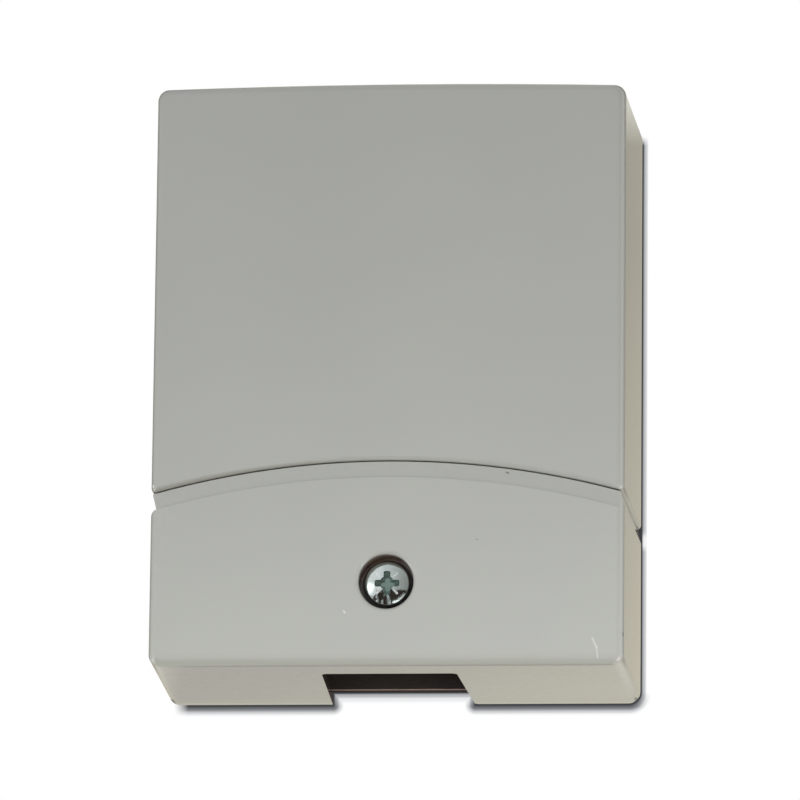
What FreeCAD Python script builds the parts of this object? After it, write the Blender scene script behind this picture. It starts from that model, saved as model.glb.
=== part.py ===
# Seismic vibration detector for safes and vaults: a die-cast base plate that is screwed to
# the guarded surface, a fixed upper cover, a lower service cover held by one screw, and the
# sensor, circuit board, terminals and tamper contacts inside.
#
# Millimetres. The back of the base plate lies in the plane Y = 0 and the origin is its centre.
# The front faces -Y, +X is to the right seen from the front, and +Z is up.

import FreeCAD, Part
import math
import os

Vector = FreeCAD.Vector
AXIS_X = Vector(1, 0, 0)
AXIS_Y = Vector(0, 1, 0)
AXIS_Z = Vector(0, 0, 1)
SIDES = (-1, 1)

# Housing, outside
case_width = 80.0
case_height = 100.0
case_depth = 36.0
case_draft = 0.8            # each side wall leans in this much from back to front
top_crown = 0.6             # the top edge bows up this much in the middle
corner_radius = 2.0
front_edge_radius = 1.2
side_wall = 1.9
front_wall = 2.2
inner_corner_radius = 0.8
wall_relief = 0.3           # the covers stop this far short of the guarded surface
cutter_margin = 5.0         # how far cutting shapes run past what they cut

# Curved joint between the covers
seam_peak_z = -15.0         # highest point of the joint, in the middle of the front
seam_side_drop = 5.4        # how far it falls to the edges of the front
seam_gap = 0.2
upper_lip_radius = 0.8      # rounding of the upper cover's lower edge
seam_half_angle = 20.0      # half the turn of what follows the joint's arc

# Bevelled band on the lower cover, just below the joint
band_height = 2.75
band_depth_at_seam = 0.45
band_step = 0.12
side_bevel_height = 2.2     # on the right side wall
side_bevel_depth = 0.48
lever_notch_depth = 0.95    # on the left side wall, where a blade lifts the cover
lever_notch_depth_at_seam = 0.3
lever_notch_height = 2.6
lever_notch_rounding = 1.25

# Lip of the lower cover that hooks behind the upper cover
lip_thickness = 1.4
lip_overlap = 3.6
lip_root = 6.0              # the lip starts this far below the joint
lip_gap = 0.25
lip_side_inset = 8.0
lip_half_width = case_width / 2 - lip_side_inset

# Base plate
plate_thickness = 2.4
plate_gap = 0.25            # between the plate's edge and the covers
rim_height = 1.4
rim_width = 1.3
rim_opening = 6.0           # height of the open strip along the bottom edge

# Holes for the screws into the guarded surface
wall_hole_inset_x = 10.0
wall_hole_inset_z = 12.0
wall_hole_x = case_width / 2 - wall_hole_inset_x
wall_hole_z = case_height / 2 - wall_hole_inset_z
wall_hole_radius = 2.75
wall_head_radius = 5.2
wall_boss_radius = 7.0
wall_boss_height = 1.6

# Cover screw, its captive washer and its well
cover_screw_rise = 14.8     # from the housing's bottom
cover_screw_z = -case_height / 2 + cover_screw_rise
screw_face_depth = 2.0      # the head's face lies this far behind the housing's front
cover_head_radius = 3.72
cover_head_height = 2.6
cover_head_crown = 13.0     # radius of the head's domed face
cover_head_rounding = 0.3
cover_thread_radius = 1.95
cover_screw_clearance = 0.35
well_radius = 4.55
well_wall = 1.6
well_draft = 0.3
well_floor = 1.6
well_lip_radius = 0.6
washer_thickness = 0.8
washer_radius = 4.25
cross_span = 4.4
cross_slot = 1.15
cross_depth = 1.7
cross_corner_radius = 0.3
cross_core_radius = 1.2
tick_length = 1.0
tick_width = 0.28
tick_depth = 0.14
tick_inset = 1.3            # from the head's edge to the outer end of a mark

# Hexagonal pillar that takes the cover screw
pillar_across_flats = 7.0
pillar_chamfer = 0.6
pillar_seat_height = 2.0
pillar_seat_radius = 6.0
pillar_gap = 0.1
pillar_bore_length = 9.0
pillar_stud_length = 3.5

# Opening for the cable in the lower cover's bottom wall
cable_cut_front_half = 11.2
cable_cut_flare = 0.9       # each side opens out by this much from front to back
cable_cut_back_half = cable_cut_front_half + cable_cut_flare
cable_cut_front_y = -28.2
cable_cut_corner = 1.0
cable_cut_left_rear_radius = 0.3
cable_cut_right_rear_radius = 0.9

# Cable clamp
clamp_rise = 7.5            # from the housing's bottom
clamp_z = -case_height / 2 + clamp_rise
clamp_post_x = 11.0
clamp_post_radius = 2.6
cable_space = 6.0
clamp_bar_height = 5.0
clamp_bar_thickness = 2.6
clamp_ear = 3.2
clamp_thread_radius = 1.2
clamp_screw_length = 7.4
clamp_head_radius = 2.2
clamp_head_height = 1.6
clamp_tooth_half_length = 7.0

# Circuit board
board_face_y = -16.0        # the board's back
board_thickness = 1.6
board_side_gap = 5.0        # from the board's edge to the housing's side at the wall
board_top_gap = 7.0
board_half_width = case_width / 2 - board_side_gap
board_top_z = case_height / 2 - board_top_gap
board_bottom_rise = 4.2     # above the cover screw
board_bottom_z = cover_screw_z + board_bottom_rise
board_notch_gap = 7.0       # from a wall screw's line to the notch that bares it
board_corner_notch_x = wall_hole_x - board_notch_gap
board_corner_notch_z = wall_hole_z - board_notch_gap
board_post_inset = 4.0
board_post_x = board_half_width - board_post_inset
board_post_upper_z = board_corner_notch_z - 2 * board_post_inset
board_post_lower_z = -7.0
board_margin = 0.8          # beside the terminal blocks
board_pillar_gap = 1.2
post_radius = 3.3
post_draft = 0.4

# Screws M3 (board, upper cover) and their holes
small_thread_radius = 1.45
small_screw_length = 8.0
small_hole_depth = 9.0
small_head_radius = 2.75
small_head_height = 1.9
small_clearance_radius = 1.7
thread_gap = 0.05

# Upper cover: screwed ears at the bottom, hooks at the top
ear_inset = 8.0
ear_x = case_width / 2 - ear_inset
ear_drop = 10.0             # below the joint's highest point
ear_z = seam_peak_z - ear_drop
ear_face_y = -12.0          # where the ear sits on its post
ear_thickness = 2.0
ear_half_height = 4.0
ear_arm_thickness = 1.7
ear_arm_depth = 10.0
ear_wall_gap = 0.5
ear_root_rise = 1.5         # the arm leaves the wall this far above the joint
ear_root_height = 6.5
hook_x = 14.0
hook_half_width = 4.0
hook_thickness = 2.2
hook_y = -6.7
hook_reach = 4.4
hook_gap = 0.4
lug_wall = 1.8
lug_thickness = 2.0
lug_inset = 0.9

# Vibration sensor
sensor_z = 12.0
sensor_pad_radius = 11.5
sensor_pad_height = 1.6
sensor_radius = 9.5
sensor_height = 9.0
sensor_wall = 1.4
sensor_notch_half = 1.6
piezo_radius = 7.0
piezo_thickness = 1.2
piezo_bolt_gap = 0.25
mass_height = 3.4
mass_radius = 6.6
mass_bolt_gap = 0.1
mass_chamfer = 0.4
sensor_bolt_radius = 1.45
sensor_bolt_head_radius = 2.7
sensor_bolt_head_height = 1.6
sensor_bolt_end = 1.4       # the bolt ends this far in front of the plate's back
sensor_cap_thickness = 1.2
sensor_cap_rounding = 0.4
sensor_spigot_wall = 1.0
sensor_spigot_height = 0.8
sensor_spigot_gap = 0.1
sensor_wire_radius = 0.45
sensor_wire_x = 0.75

# Terminal blocks
terminal_pitch = 5.0
terminal_count = 4
terminal_inner_x = 6.2
terminal_rise = 14.6        # top of the blocks above the cover screw
terminal_top_z = cover_screw_z + terminal_rise
terminal_height = 8.4
terminal_depth = 10.0
terminal_step = 1.6         # the nose is lower than the body by this much on both sides
terminal_nose = 3.0
terminal_entry_depth = 6.4
terminal_floor = 1.2
terminal_thread_radius = 1.1
terminal_screw_length = 2.6
terminal_screw_radius = 1.75
terminal_screw_head = 1.5
terminal_screw_sink = 3.6
terminal_well_radius = 2.0
terminal_cage_width = 3.9
terminal_cage_wall = 0.5
terminal_cage_gap = 0.05
terminal_cage_height = 5.1

# Contact under the lower cover
cover_switch_rise = 11.7    # above the cover screw
cover_switch_z = cover_screw_z + cover_switch_rise
cover_switch_size = 6.6
cover_switch_height = 4.0
cover_switch_floor = 0.8
cover_plunger_radius = 1.7
cover_plunger_head_radius = 2.8
cover_plunger_head = 1.0
cover_plunger_overtravel = 0.6
cover_plunger_clearance = 0.4
cover_boss_gap = 0.05
cover_spring_length = 3.4
cover_spring_radius = 2.2
cover_spring_wire = 0.4
switch_boss_radius = 2.2
switch_boss_root_radius = 2.8

# Contact against prising the detector off the wall
wall_contact_inset = 18.0
wall_contact_x = wall_contact_inset - case_width / 2
wall_contact_z = -4.0
wall_tube_radius = 5.0
wall_tube_top_y = -12.0
wall_pin_radius = 2.3
wall_pin_rounding = 0.6
wall_collar_radius = 3.6
wall_collar_gap = 0.2
wall_collar_thickness = 1.0
wall_shoulder_y = -3.4
wall_plunger_travel = 2.1
wall_stem_radius = 1.4
wall_spring_radius = 2.6
wall_spring_wire = 0.5
wall_cap_plug = 1.2
wall_cap_flange = 0.8
wall_switch_half = 3.0
wall_switch_height = 2.2
wall_button_radius = 1.7
wall_button_rise = 0.5
wall_button_gap = 0.1
running_gap = 0.05          # radial clearance of sliding pins

# Components on the board, each with its place (x, z)
relay_half_width = 7.75
relay_half_height = 5.0
relay_inset = 3.0
relay_place = (relay_half_width + relay_inset - board_corner_notch_x, board_corner_notch_z + 1.0)
relay_thickness = 10.0
relay_rounding = 0.7
chip_standoff = 0.3
chip_lead_thickness = 0.2
controller_place = (0.0, 18.0)
controller_half = 4.5
controller_thickness = 1.4
controller_lead_count = 8
controller_pitch = 0.8
amplifier_place = (-12.0, 4.0)
amplifier_half_width = 4.3
amplifier_half_height = 1.95
amplifier_thickness = 1.5
amplifier_lead_count = 7
amplifier_pitch = 1.27
small_capacitor = (3.15, 8.0)       # radius and height
large_capacitor = (4.0, 10.0)
capacitor_inset = 3.0
capacitor_spacing = 8.0
small_capacitor_places = [
    (board_corner_notch_x - capacitor_inset - capacitor_spacing * i, board_corner_notch_z + 3.0)
    for i in range(2)
]
large_capacitor_place = (-board_half_width + 7.0, 12.0)
capacitor_groove = 0.35
capacitor_groove_height = 1.8
crystal_place = (14.0, 4.0)
crystal_half_width = 3.2
crystal_end_radius = 2.2
crystal_thickness = 3.5
suppressor_rise = 5.6       # above the terminal blocks
suppressor_x = 16.0
suppressor_spacing = 6.0
suppressor_places = [
    (x, terminal_top_z + suppressor_rise)
    for x in (-suppressor_x - suppressor_spacing, -suppressor_x, suppressor_x)
]
suppressor_half_width = 1.8
suppressor_half_height = 2.2
suppressor_thickness = 2.3
led_inset = 11.0            # from the board's edge
led_rise = 11.6             # above the terminal blocks
led_place = (board_half_width - led_inset, terminal_top_z + led_rise)
led_radius = 1.5
led_collar_radius = 1.9
led_collar_height = 1.0
led_height = 3.2
jumper_rise = 9.6           # above the terminal blocks
jumper_place = (0.0, terminal_top_z + jumper_rise)
jumper_count = 4
jumper_pitch = 2.54
jumper_base_height = 2.5
jumper_pin_half = 0.32
jumper_pin_height = 8.4
jumper_link_half_width = 1.15
jumper_link_half_height = 2.5
jumper_link_top = 8.6
jumper_link_gap = 0.05

# Places that follow from the sizes above
front_y = -case_depth
front_half_width = case_width / 2 - case_draft
front_inner_y = front_y + front_wall
seam_radius = (front_half_width ** 2 + seam_side_drop ** 2) / (2 * seam_side_drop)
seam_centre_z = seam_peak_z - seam_radius
board_lower_half_width = terminal_inner_x + terminal_pitch * terminal_count + board_margin
board_step_z = ear_z + ear_half_height + 2 * board_post_inset
plate_face_y = -plate_thickness
board_front_y = board_face_y - board_thickness
head_face_y = front_y + screw_face_depth
head_seat_y = head_face_y + cover_head_height
well_seat_y = head_seat_y + washer_thickness
well_back_y = well_seat_y + well_floor
pillar_seat_y = plate_face_y - pillar_seat_height
pillar_top_y = well_back_y + pillar_gap
pillar_corner_radius = pillar_across_flats / math.sqrt(3)
clamp_back_y = plate_face_y - cable_space
clamp_front_y = clamp_back_y - clamp_bar_thickness
sensor_seat_y = plate_face_y - sensor_pad_height
sensor_floor_y = sensor_seat_y - sensor_wall
piezo_front_y = sensor_floor_y - piezo_thickness
mass_front_y = piezo_front_y - mass_height
sensor_rim_y = sensor_seat_y - sensor_height
terminal_bottom_z = terminal_top_z - terminal_height
terminal_screw_z = terminal_top_z - terminal_height / 2
terminal_front_y = board_front_y - terminal_depth
cover_switch_face_y = board_front_y - cover_switch_height
plunger_head_y = cover_switch_face_y - cover_spring_length - cover_plunger_head
wall_collar_y = wall_shoulder_y - wall_plunger_travel


def block(x0, x1, y0, y1, z0, z1):
    """A box from its limits along each axis, given in either order."""
    corner = Vector(min(x0, x1), min(y0, y1), min(z0, z1))
    return Part.makeBox(abs(x1 - x0), abs(y1 - y0), abs(z1 - z0), corner)


def rod(x, z, radius, y0, y1):
    """A round bar along Y between two depths."""
    return Part.makeCylinder(radius, abs(y1 - y0), Vector(x, min(y0, y1), z), AXIS_Y)


def cone(x, z, y0, radius0, y1, radius1):
    """A round tapered bar along Y, with its radius given at both depths."""
    if y0 > y1:
        y0, radius0, y1, radius1 = y1, radius1, y0, radius0
    return Part.makeCone(radius0, radius1, y1 - y0, Vector(x, y0, z), AXIS_Y)


def closed(points):
    """A closed outline through the points."""
    return Part.makePolygon(points + points[:1])


def prism(points, travel):
    """Pulls a closed flat outline along a vector."""
    return Part.Face(closed(points)).extrude(travel)


def turned(profile, x, z, half_angle=180.0):
    """Turns a profile of (radius, y) points about the line along Y through x, z, up to both sides."""
    face = Part.Face(closed([Vector(x, y, z + radius) for radius, y in profile]))
    face.rotate(Vector(x, 0, z), AXIS_Y, -half_angle)
    return face.revolve(Vector(x, 0, z), AXIS_Y, 2 * half_angle)


def single(shape):
    """The one solid that an operation must leave."""
    if len(shape.Solids) != 1:
        raise ValueError("one solid expected, found " + str(len(shape.Solids)))
    return shape.Solids[0]


def fuse(first, others):
    """Joins pieces to a solid one by one and removes the leftover seams in its faces."""
    for other in others:
        first = single(first.fuse(other))
    return single(first.removeSplitter())


def cut(solid, wastes):
    """Takes pieces of waste from a solid one by one."""
    for waste in wastes:
        solid = single(solid.cut(waste))
    return solid


def edges_where(shape, test):
    """The edges whose every sampled point passes the test."""
    found = []
    for edge in shape.Edges:
        if all(test(point) for point in edge.discretize(5)):
            found.append(edge)
    return found


def round_face(shape, y, radius):
    """Rounds the edges that lie in the plane at a depth."""
    return single(shape.makeFillet(radius, edges_where(shape, lambda p: abs(p.y - y) < 0.001)))


def lean_at(y):
    """How far each side wall has leaned in at a depth."""
    return -y * case_draft / case_depth


def case_block(inset, y_back, y_front):
    """A solid with the housing's drafted outline between two depths, drawn in by the inset.

    The sides lean in towards the front, and the top is a shallow leaning arc.
    """
    far = case_height

    def half(size, y):
        return size / 2 - lean_at(y) - inset

    plan = []
    profile = []
    for y, side in ((y_back, 1), (y_back, -1), (y_front, -1), (y_front, 1)):
        plan.append(Vector(side * half(case_width, y), y, -far))
        profile.append(Vector(-far, y, far if side > 0 else -half(case_height, y)))
    solid = prism(plan, AXIS_Z * 2 * far).common(prism(profile, AXIS_X * 2 * far))

    # The crown is a large cylinder along the leaning top, long enough for its slanted ends.
    crown_radius = (case_width ** 2 / 4 + top_crown ** 2) / (2 * top_crown)
    lean = Vector(0, -case_depth, -case_draft).normalize()
    centre = Vector(0, 0, half(case_height, 0) + crown_radius / lean.y)
    reach = 2 * case_depth + crown_radius * case_draft / case_depth
    solid = solid.common(Part.makeCylinder(crown_radius, 2 * reach, centre - lean * reach, lean))

    length = abs(y_back - y_front)
    corners = [edge for edge in solid.Edges if edge.BoundBox.YLength > 0.9 * length]
    return single(solid.makeFillet(max(corner_radius - inset, inner_corner_radius), corners))


def case_shell():
    """Both covers in one piece: the drafted outside with rounded front edges, hollowed out."""
    outside = round_face(case_block(0, -wall_relief, front_y), front_y, front_edge_radius)
    return cut(outside, [case_block(side_wall, 1.0, front_inner_y)])


def below_seam(offset):
    """Everything below the curved joint, whose arc is moved out by the offset."""
    radius = seam_radius + offset
    back_y = cutter_margin
    far_y = front_y - cutter_margin
    reach = radius * math.sin(math.radians(seam_half_angle))
    window = block(-reach, reach, back_y, far_y, -case_height, seam_centre_z + radius + 1.0)
    return rod(0, seam_centre_z, radius, back_y, far_y).common(window)


def seam_z(x):
    """Height of the joint at a distance from the middle."""
    return seam_centre_z + math.sqrt(seam_radius ** 2 - x ** 2)


def upper_cover():
    """The fixed cover: shell above the joint, hooks at the top and two screwed ears below."""
    cover = cut(case_shell(), [below_seam(seam_gap / 2)])
    cover = single(cover.makeFillet(upper_lip_radius, upper_lip_edges(cover)))
    for side in SIDES:
        cover = fuse(cover, [upper_cover_hook(side), upper_cover_ear(side)])
        cover = cut(cover, [rod(side * ear_x, ear_z, small_clearance_radius, 0, front_inner_y)])
    return cover


def upper_lip_edges(cover):
    """The outer edges along the joint, over the front and both side walls."""
    limit = seam_radius + seam_gap / 2

    def on_lip(point):
        if abs(math.hypot(point.x, point.z - seam_centre_z) - limit) > 0.001:
            return False
        on_front = point.y < front_inner_y - 0.1
        on_side = abs(point.x) > case_width / 2 - lean_at(point.y) - side_wall + 0.1
        return on_front or on_side

    return edges_where(cover, on_lip)


def upper_cover_hook(side):
    """A tongue that hangs from the top wall into a lug of the base plate."""
    top = case_height / 2 - side_wall
    x = side * hook_x
    return block(x - hook_half_width, x + hook_half_width,
                 hook_y - hook_thickness / 2, hook_y + hook_thickness / 2,
                 top - hook_reach, top + side_wall / 2)


def upper_cover_ear(side):
    """An arm that reaches down inside the lower cover and carries a screwed ear."""
    front = ear_face_y - ear_arm_depth
    outer = case_width / 2 - lean_at(front) - side_wall - ear_wall_gap
    inner = outer - ear_arm_thickness
    root_z = seam_z(case_width / 2) + ear_root_rise
    top_z = root_z + ear_root_height
    foot_z = ear_z - ear_half_height
    in_wall = outer + ear_wall_gap + side_wall / 2
    arm = block(side * inner, side * outer, ear_face_y, front, foot_z, top_z)
    root = block(side * inner, side * in_wall, ear_face_y, front, root_z, top_z)
    ear = block(side * (ear_x - ear_half_height), side * outer,
                ear_face_y, ear_face_y - ear_thickness, foot_z, ear_z + ear_half_height)
    return fuse(arm, [root, ear])


def lower_cover():
    """The service cover: shell below the joint, bevels, lip, screw well and cable cut-out."""
    cover = single(case_shell().common(below_seam(-seam_gap / 2)))
    cover = cut(cover, [front_band(), right_bevel(), lever_notch()])
    cover = fuse(cover, [hook_lip(), switch_boss(), well_cup()])
    cover = cut(cover, [
        cable_cut(),
        rod(0, cover_screw_z, well_radius, well_seat_y, front_y - 1),
        rod(0, cover_screw_z, cover_thread_radius + cover_screw_clearance, 0, front_y - 1),
    ])
    for side, radius in ((-1, cable_cut_left_rear_radius), (1, cable_cut_right_rear_radius)):
        cover = single(cover.makeFillet(radius, cable_cut_rear_edges(cover, side)))
    well_rim = edges_where(cover, lambda p: abs(p.y - front_y) < 0.001
                           and abs(math.hypot(p.x, p.z - cover_screw_z) - well_radius) < 0.01)
    return single(cover.makeFillet(well_lip_radius, well_rim))


def well_cup():
    """The cup behind the front wall that the cover screw sits in, before it is bored."""
    root_radius = well_radius + well_wall
    return cone(0, cover_screw_z, well_back_y, root_radius - well_draft,
                front_inner_y - front_wall / 2, root_radius)


def switch_boss():
    """The post that holds the cover contact's plunger in while the cover is closed."""
    return cone(0, cover_switch_z, plunger_head_y, switch_boss_radius,
                front_inner_y - front_wall / 4, switch_boss_root_radius)


def front_band():
    """The waste that leaves the bevelled band on the front, turned about the joint's centre."""
    above = 1.0
    slope = (band_depth_at_seam - band_step) / band_height
    outer = seam_radius + above
    low = seam_radius - band_height
    profile = [
        (outer, front_y - 1),
        (outer, front_y + band_depth_at_seam + slope * above),
        (low, front_y + band_step),
        (low, front_y - 1),
    ]
    return turned(profile, 0, seam_centre_z, seam_half_angle)


def side_cutter(side, section):
    """Lofts a section of (distance in from the wall's face, z) points along the leaning side wall."""
    outlines = []
    for y in (2.0, front_y - 2.0):
        face_x = case_width / 2 - lean_at(y)
        outlines.append(closed([Vector(side * (face_x - inward), y, z) for inward, z in section]))
    return Part.makeLoft(outlines, True, True)


def right_bevel():
    """The waste beside the joint on the right wall: deepest at the joint, nothing below."""
    above = 0.8
    top = seam_z(case_width / 2) + above
    low = seam_z(front_half_width) - side_bevel_height
    depth = side_bevel_depth + above * side_bevel_depth / side_bevel_height
    return side_cutter(1, [(-1.0, top), (depth, top), (0.0, low), (-1.0, low)])


def lever_notch():
    """The waste of the wedge-shaped notch on the left wall: deepest at its foot, then a round shoulder."""
    above = 1.5
    top = seam_z(front_half_width) + above
    slope = (lever_notch_depth - lever_notch_depth_at_seam) / lever_notch_height
    radius = lever_notch_rounding
    start = math.asin(1 - lever_notch_depth / radius)
    shoulder_z = top - above - lever_notch_height - radius * math.cos(start)
    section = [(-1.0, top), (lever_notch_depth_at_seam - slope * above, top)]
    for index in range(7):
        angle = start + (math.pi / 2 - start) * index / 6
        section.append((radius - radius * math.sin(angle), shoulder_z + radius * math.cos(angle)))
    section.append((-1.0, shoulder_z))
    return side_cutter(-1, section)


def hook_lip():
    """The curved lip behind the upper cover's front wall, joined to the lower cover's own wall."""
    face = front_inner_y + lip_gap
    back = face + lip_thickness
    low = seam_radius - lip_root
    bend = seam_radius - 1.2
    in_wall = front_inner_y - front_wall / 4
    profile = [
        (low, in_wall),
        (bend, in_wall),
        (bend, face),
        (seam_radius + lip_overlap, face),
        (seam_radius + lip_overlap, back),
        (low, back),
    ]
    lip = turned(profile, 0, seam_centre_z, seam_half_angle)
    return lip.common(block(-lip_half_width, lip_half_width, 0, front_y, -case_height, case_height))


def cable_cut():
    """The cable's way in: a cut-out of the bottom wall, open to the back and wider there."""
    low = -case_height / 2 - 2.0
    front = cable_cut_front_y
    waste = prism([
        Vector(-cable_cut_front_half, front, low),
        Vector(cable_cut_front_half, front, low),
        Vector(cable_cut_back_half, 1.0, low),
        Vector(-cable_cut_back_half, 1.0, low),
    ], AXIS_Z * (side_wall + cutter_margin))
    uprights = edges_where(waste, lambda p: abs(p.y - front) < 0.001
                           and abs(abs(p.x) - cable_cut_front_half) < 0.001)
    return waste.makeFillet(cable_cut_corner, uprights)


def cable_cut_rear_edges(cover, side):
    """The edge where one side of the cable's cut-out meets the cover's back rim."""
    return edges_where(cover, lambda p: abs(p.y + wall_relief) < 0.001
                       and p.z < 0 and cable_cut_front_half < side * p.x < cable_cut_back_half)


def base_plate():
    """The die-cast plate: rim, bosses for the wall screws, posts, lugs, sensor pad and tube."""
    inset = side_wall + plate_gap
    rim_y = plate_face_y - rim_height
    plate = case_block(inset, 0, rim_y)
    pocket = case_block(inset + rim_width, plate_face_y, rim_y - 1)
    open_strip = block(-case_width, case_width, rim_y - 1, plate_face_y,
                       -case_height, -case_height / 2 + inset + rim_opening)
    plate = cut(plate, [pocket, open_strip])
    inside = case_block(inset, 0, front_inner_y)
    plate = fuse(plate, [piece.common(inside) for piece in plate_posts()])
    return cut(plate, plate_holes())


def plate_posts():
    """Everything that stands on the plate's face."""
    posts = []
    for x, z in wall_holes():
        posts.append(rod(x, z, wall_boss_radius, plate_face_y, plate_face_y - wall_boss_height))
    foot_radius = post_radius + post_draft
    for x, z in board_posts():
        posts.append(cone(x, z, plate_face_y, foot_radius, board_face_y, post_radius))
    for side in SIDES:
        posts.append(cone(side * ear_x, ear_z, plate_face_y, foot_radius, ear_face_y, post_radius))
        posts.append(rod(side * clamp_post_x, clamp_z, clamp_post_radius, plate_face_y, clamp_back_y))
        posts.append(top_lug(side))
    posts.append(rod(0, sensor_z, sensor_pad_radius, plate_face_y, sensor_seat_y))
    posts.append(rod(0, cover_screw_z, pillar_seat_radius, plate_face_y, pillar_seat_y))
    posts.append(rod(wall_contact_x, wall_contact_z, wall_tube_radius, plate_face_y, wall_tube_top_y))
    return posts


def plate_holes():
    """Every bore of the plate: countersunk wall holes, threads and the contact's stepped bore."""
    holes = []
    boss_face = plate_face_y - wall_boss_height
    countersink = wall_head_radius - wall_hole_radius
    for x, z in wall_holes():
        holes.append(rod(x, z, wall_hole_radius, 1.0, boss_face - 1))
        holes.append(cone(x, z, boss_face, wall_head_radius, boss_face + countersink, wall_hole_radius))
    thread = small_thread_radius + thread_gap
    for x, z in board_posts():
        holes.append(rod(x, z, thread, board_face_y - 1, board_face_y + small_hole_depth))
    clamp_hole_y = clamp_front_y + clamp_screw_length + 1.0
    for side in SIDES:
        holes.append(rod(side * ear_x, ear_z, thread, ear_face_y - 1, ear_face_y + small_hole_depth))
        holes.append(rod(side * clamp_post_x, clamp_z, clamp_thread_radius + thread_gap,
                         clamp_back_y - 1, clamp_hole_y))
    holes.append(rod(0, sensor_z, sensor_bolt_radius + thread_gap, sensor_seat_y - 1, 0.5 - sensor_bolt_end))
    holes.append(rod(0, cover_screw_z, cover_thread_radius + thread_gap,
                     pillar_seat_y - 1, pillar_seat_y + pillar_stud_length + 0.2))
    holes.append(rod(wall_contact_x, wall_contact_z, wall_pin_radius + running_gap,
                     1.0, wall_tube_top_y - 1))
    holes.append(rod(wall_contact_x, wall_contact_z, wall_collar_radius + wall_collar_gap,
                     wall_shoulder_y, wall_tube_top_y - 1))
    return holes


def wall_holes():
    """Places of the four screws into the guarded surface."""
    return [(x * wall_hole_x, z * wall_hole_z) for x in SIDES for z in SIDES]


def board_posts():
    """Places of the four posts under the circuit board."""
    return [(x * board_post_x, z) for x in SIDES for z in (board_post_lower_z, board_post_upper_z)]


def top_lug(side):
    """An upright lug near the plate's top edge, with the window that the cover hangs in."""
    x = side * hook_x
    top = case_height / 2 - side_wall - plate_gap - lug_inset
    half_window = hook_half_width + hook_gap
    back = hook_y + hook_thickness / 2 + hook_gap
    front = hook_y - hook_thickness / 2 - hook_gap
    lug = block(x - half_window - lug_wall, x + half_window + lug_wall,
                plate_face_y, front - lug_wall, top - lug_thickness, top)
    window = block(x - half_window, x + half_window, back, front, top - lug_thickness - 1, top + 1)
    return cut(lug, [window])


def plain_screw(x, z, seat_y, thread_radius, length, head_radius, head_height):
    """A pan-head screw with a straight slot, pointing into the housing."""
    face_y = seat_y - head_height
    bevel = head_height * 0.4
    head = fuse(rod(x, z, head_radius, seat_y, face_y + bevel),
                [cone(x, z, face_y + bevel, head_radius, face_y, head_radius - bevel)])
    slot_half = head_radius * 0.13
    slot = block(x - head_radius, x + head_radius, seat_y - head_height * 0.55, face_y - 1,
                 z - slot_half, z + slot_half)
    tip_y = seat_y + length - thread_radius * 0.5
    shank = rod(x, z, thread_radius, seat_y, tip_y)
    tip = cone(x, z, tip_y, thread_radius, seat_y + length, thread_radius * 0.6)
    return fuse(cut(head, [slot]), [shank, tip])


def cover_screw():
    """The one screw seen from outside: domed pan head with a cross recess and four tick marks."""
    z = cover_screw_z
    dome = Part.makeSphere(cover_head_crown, Vector(0, head_face_y + cover_head_crown, z))
    head = single(rod(0, z, cover_head_radius, head_seat_y, head_face_y - 1).common(dome))
    head = round_face(head, head_face_y + crown_drop(cover_head_radius), cover_head_rounding)
    blade = cross_blade()
    second_blade = blade.copy()
    second_blade.rotate(Vector(0, 0, z), AXIS_Y, 90)
    core = cone(0, z, head_face_y - 0.01, cross_core_radius, head_face_y + cross_depth, cross_slot * 0.45)
    head = cut(head, [blade, second_blade, core] + [tick_mark(angle) for angle in (45, 135, 225, 315)])
    shank_end = pillar_top_y + pillar_bore_length - 1.5
    shank = rod(0, z, cover_thread_radius, head_seat_y - 0.2, shank_end)
    tip = cone(0, z, shank_end, cover_thread_radius, shank_end + 1.0, cover_thread_radius * 0.55)
    return fuse(head, [shank, tip])


def crown_drop(radius):
    """How far the screw head's domed face has fallen at a radius."""
    return cover_head_crown - math.sqrt(cover_head_crown ** 2 - radius ** 2)


def cross_blade():
    """One wing pair of the cross recess, narrower and shorter towards its floor, with round corners."""
    outlines = []
    for y, span, width in ((head_face_y - 0.1, cross_span, cross_slot),
                           (head_face_y + cross_depth, cross_span * 0.5, cross_slot * 0.75)):
        corners = ((-1, -1), (1, -1), (1, 1), (-1, 1))
        outlines.append(closed([Vector(i * span / 2, y, cover_screw_z + j * width / 2) for i, j in corners]))
    blade = Part.makeLoft(outlines, True, True)
    return single(blade.makeFillet(cross_corner_radius,
                                   [edge for edge in blade.Edges if edge.BoundBox.YLength > cross_depth]))


def tick_mark(angle):
    """A shallow line in the head's face between two wings of the cross."""
    end = cover_head_radius - tick_inset
    mark = block(end - tick_length, end, head_face_y - 1, head_face_y + crown_drop(end) + tick_depth,
                 cover_screw_z - tick_width / 2, cover_screw_z + tick_width / 2)
    mark.rotate(Vector(0, 0, cover_screw_z), AXIS_Y, angle)
    return mark


def captive_washer():
    """The plastic washer that keeps the cover screw in its well."""
    ring = rod(0, cover_screw_z, washer_radius, head_seat_y, well_seat_y)
    return cut(ring, [rod(0, cover_screw_z, cover_thread_radius + thread_gap, 0, front_y)])


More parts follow.
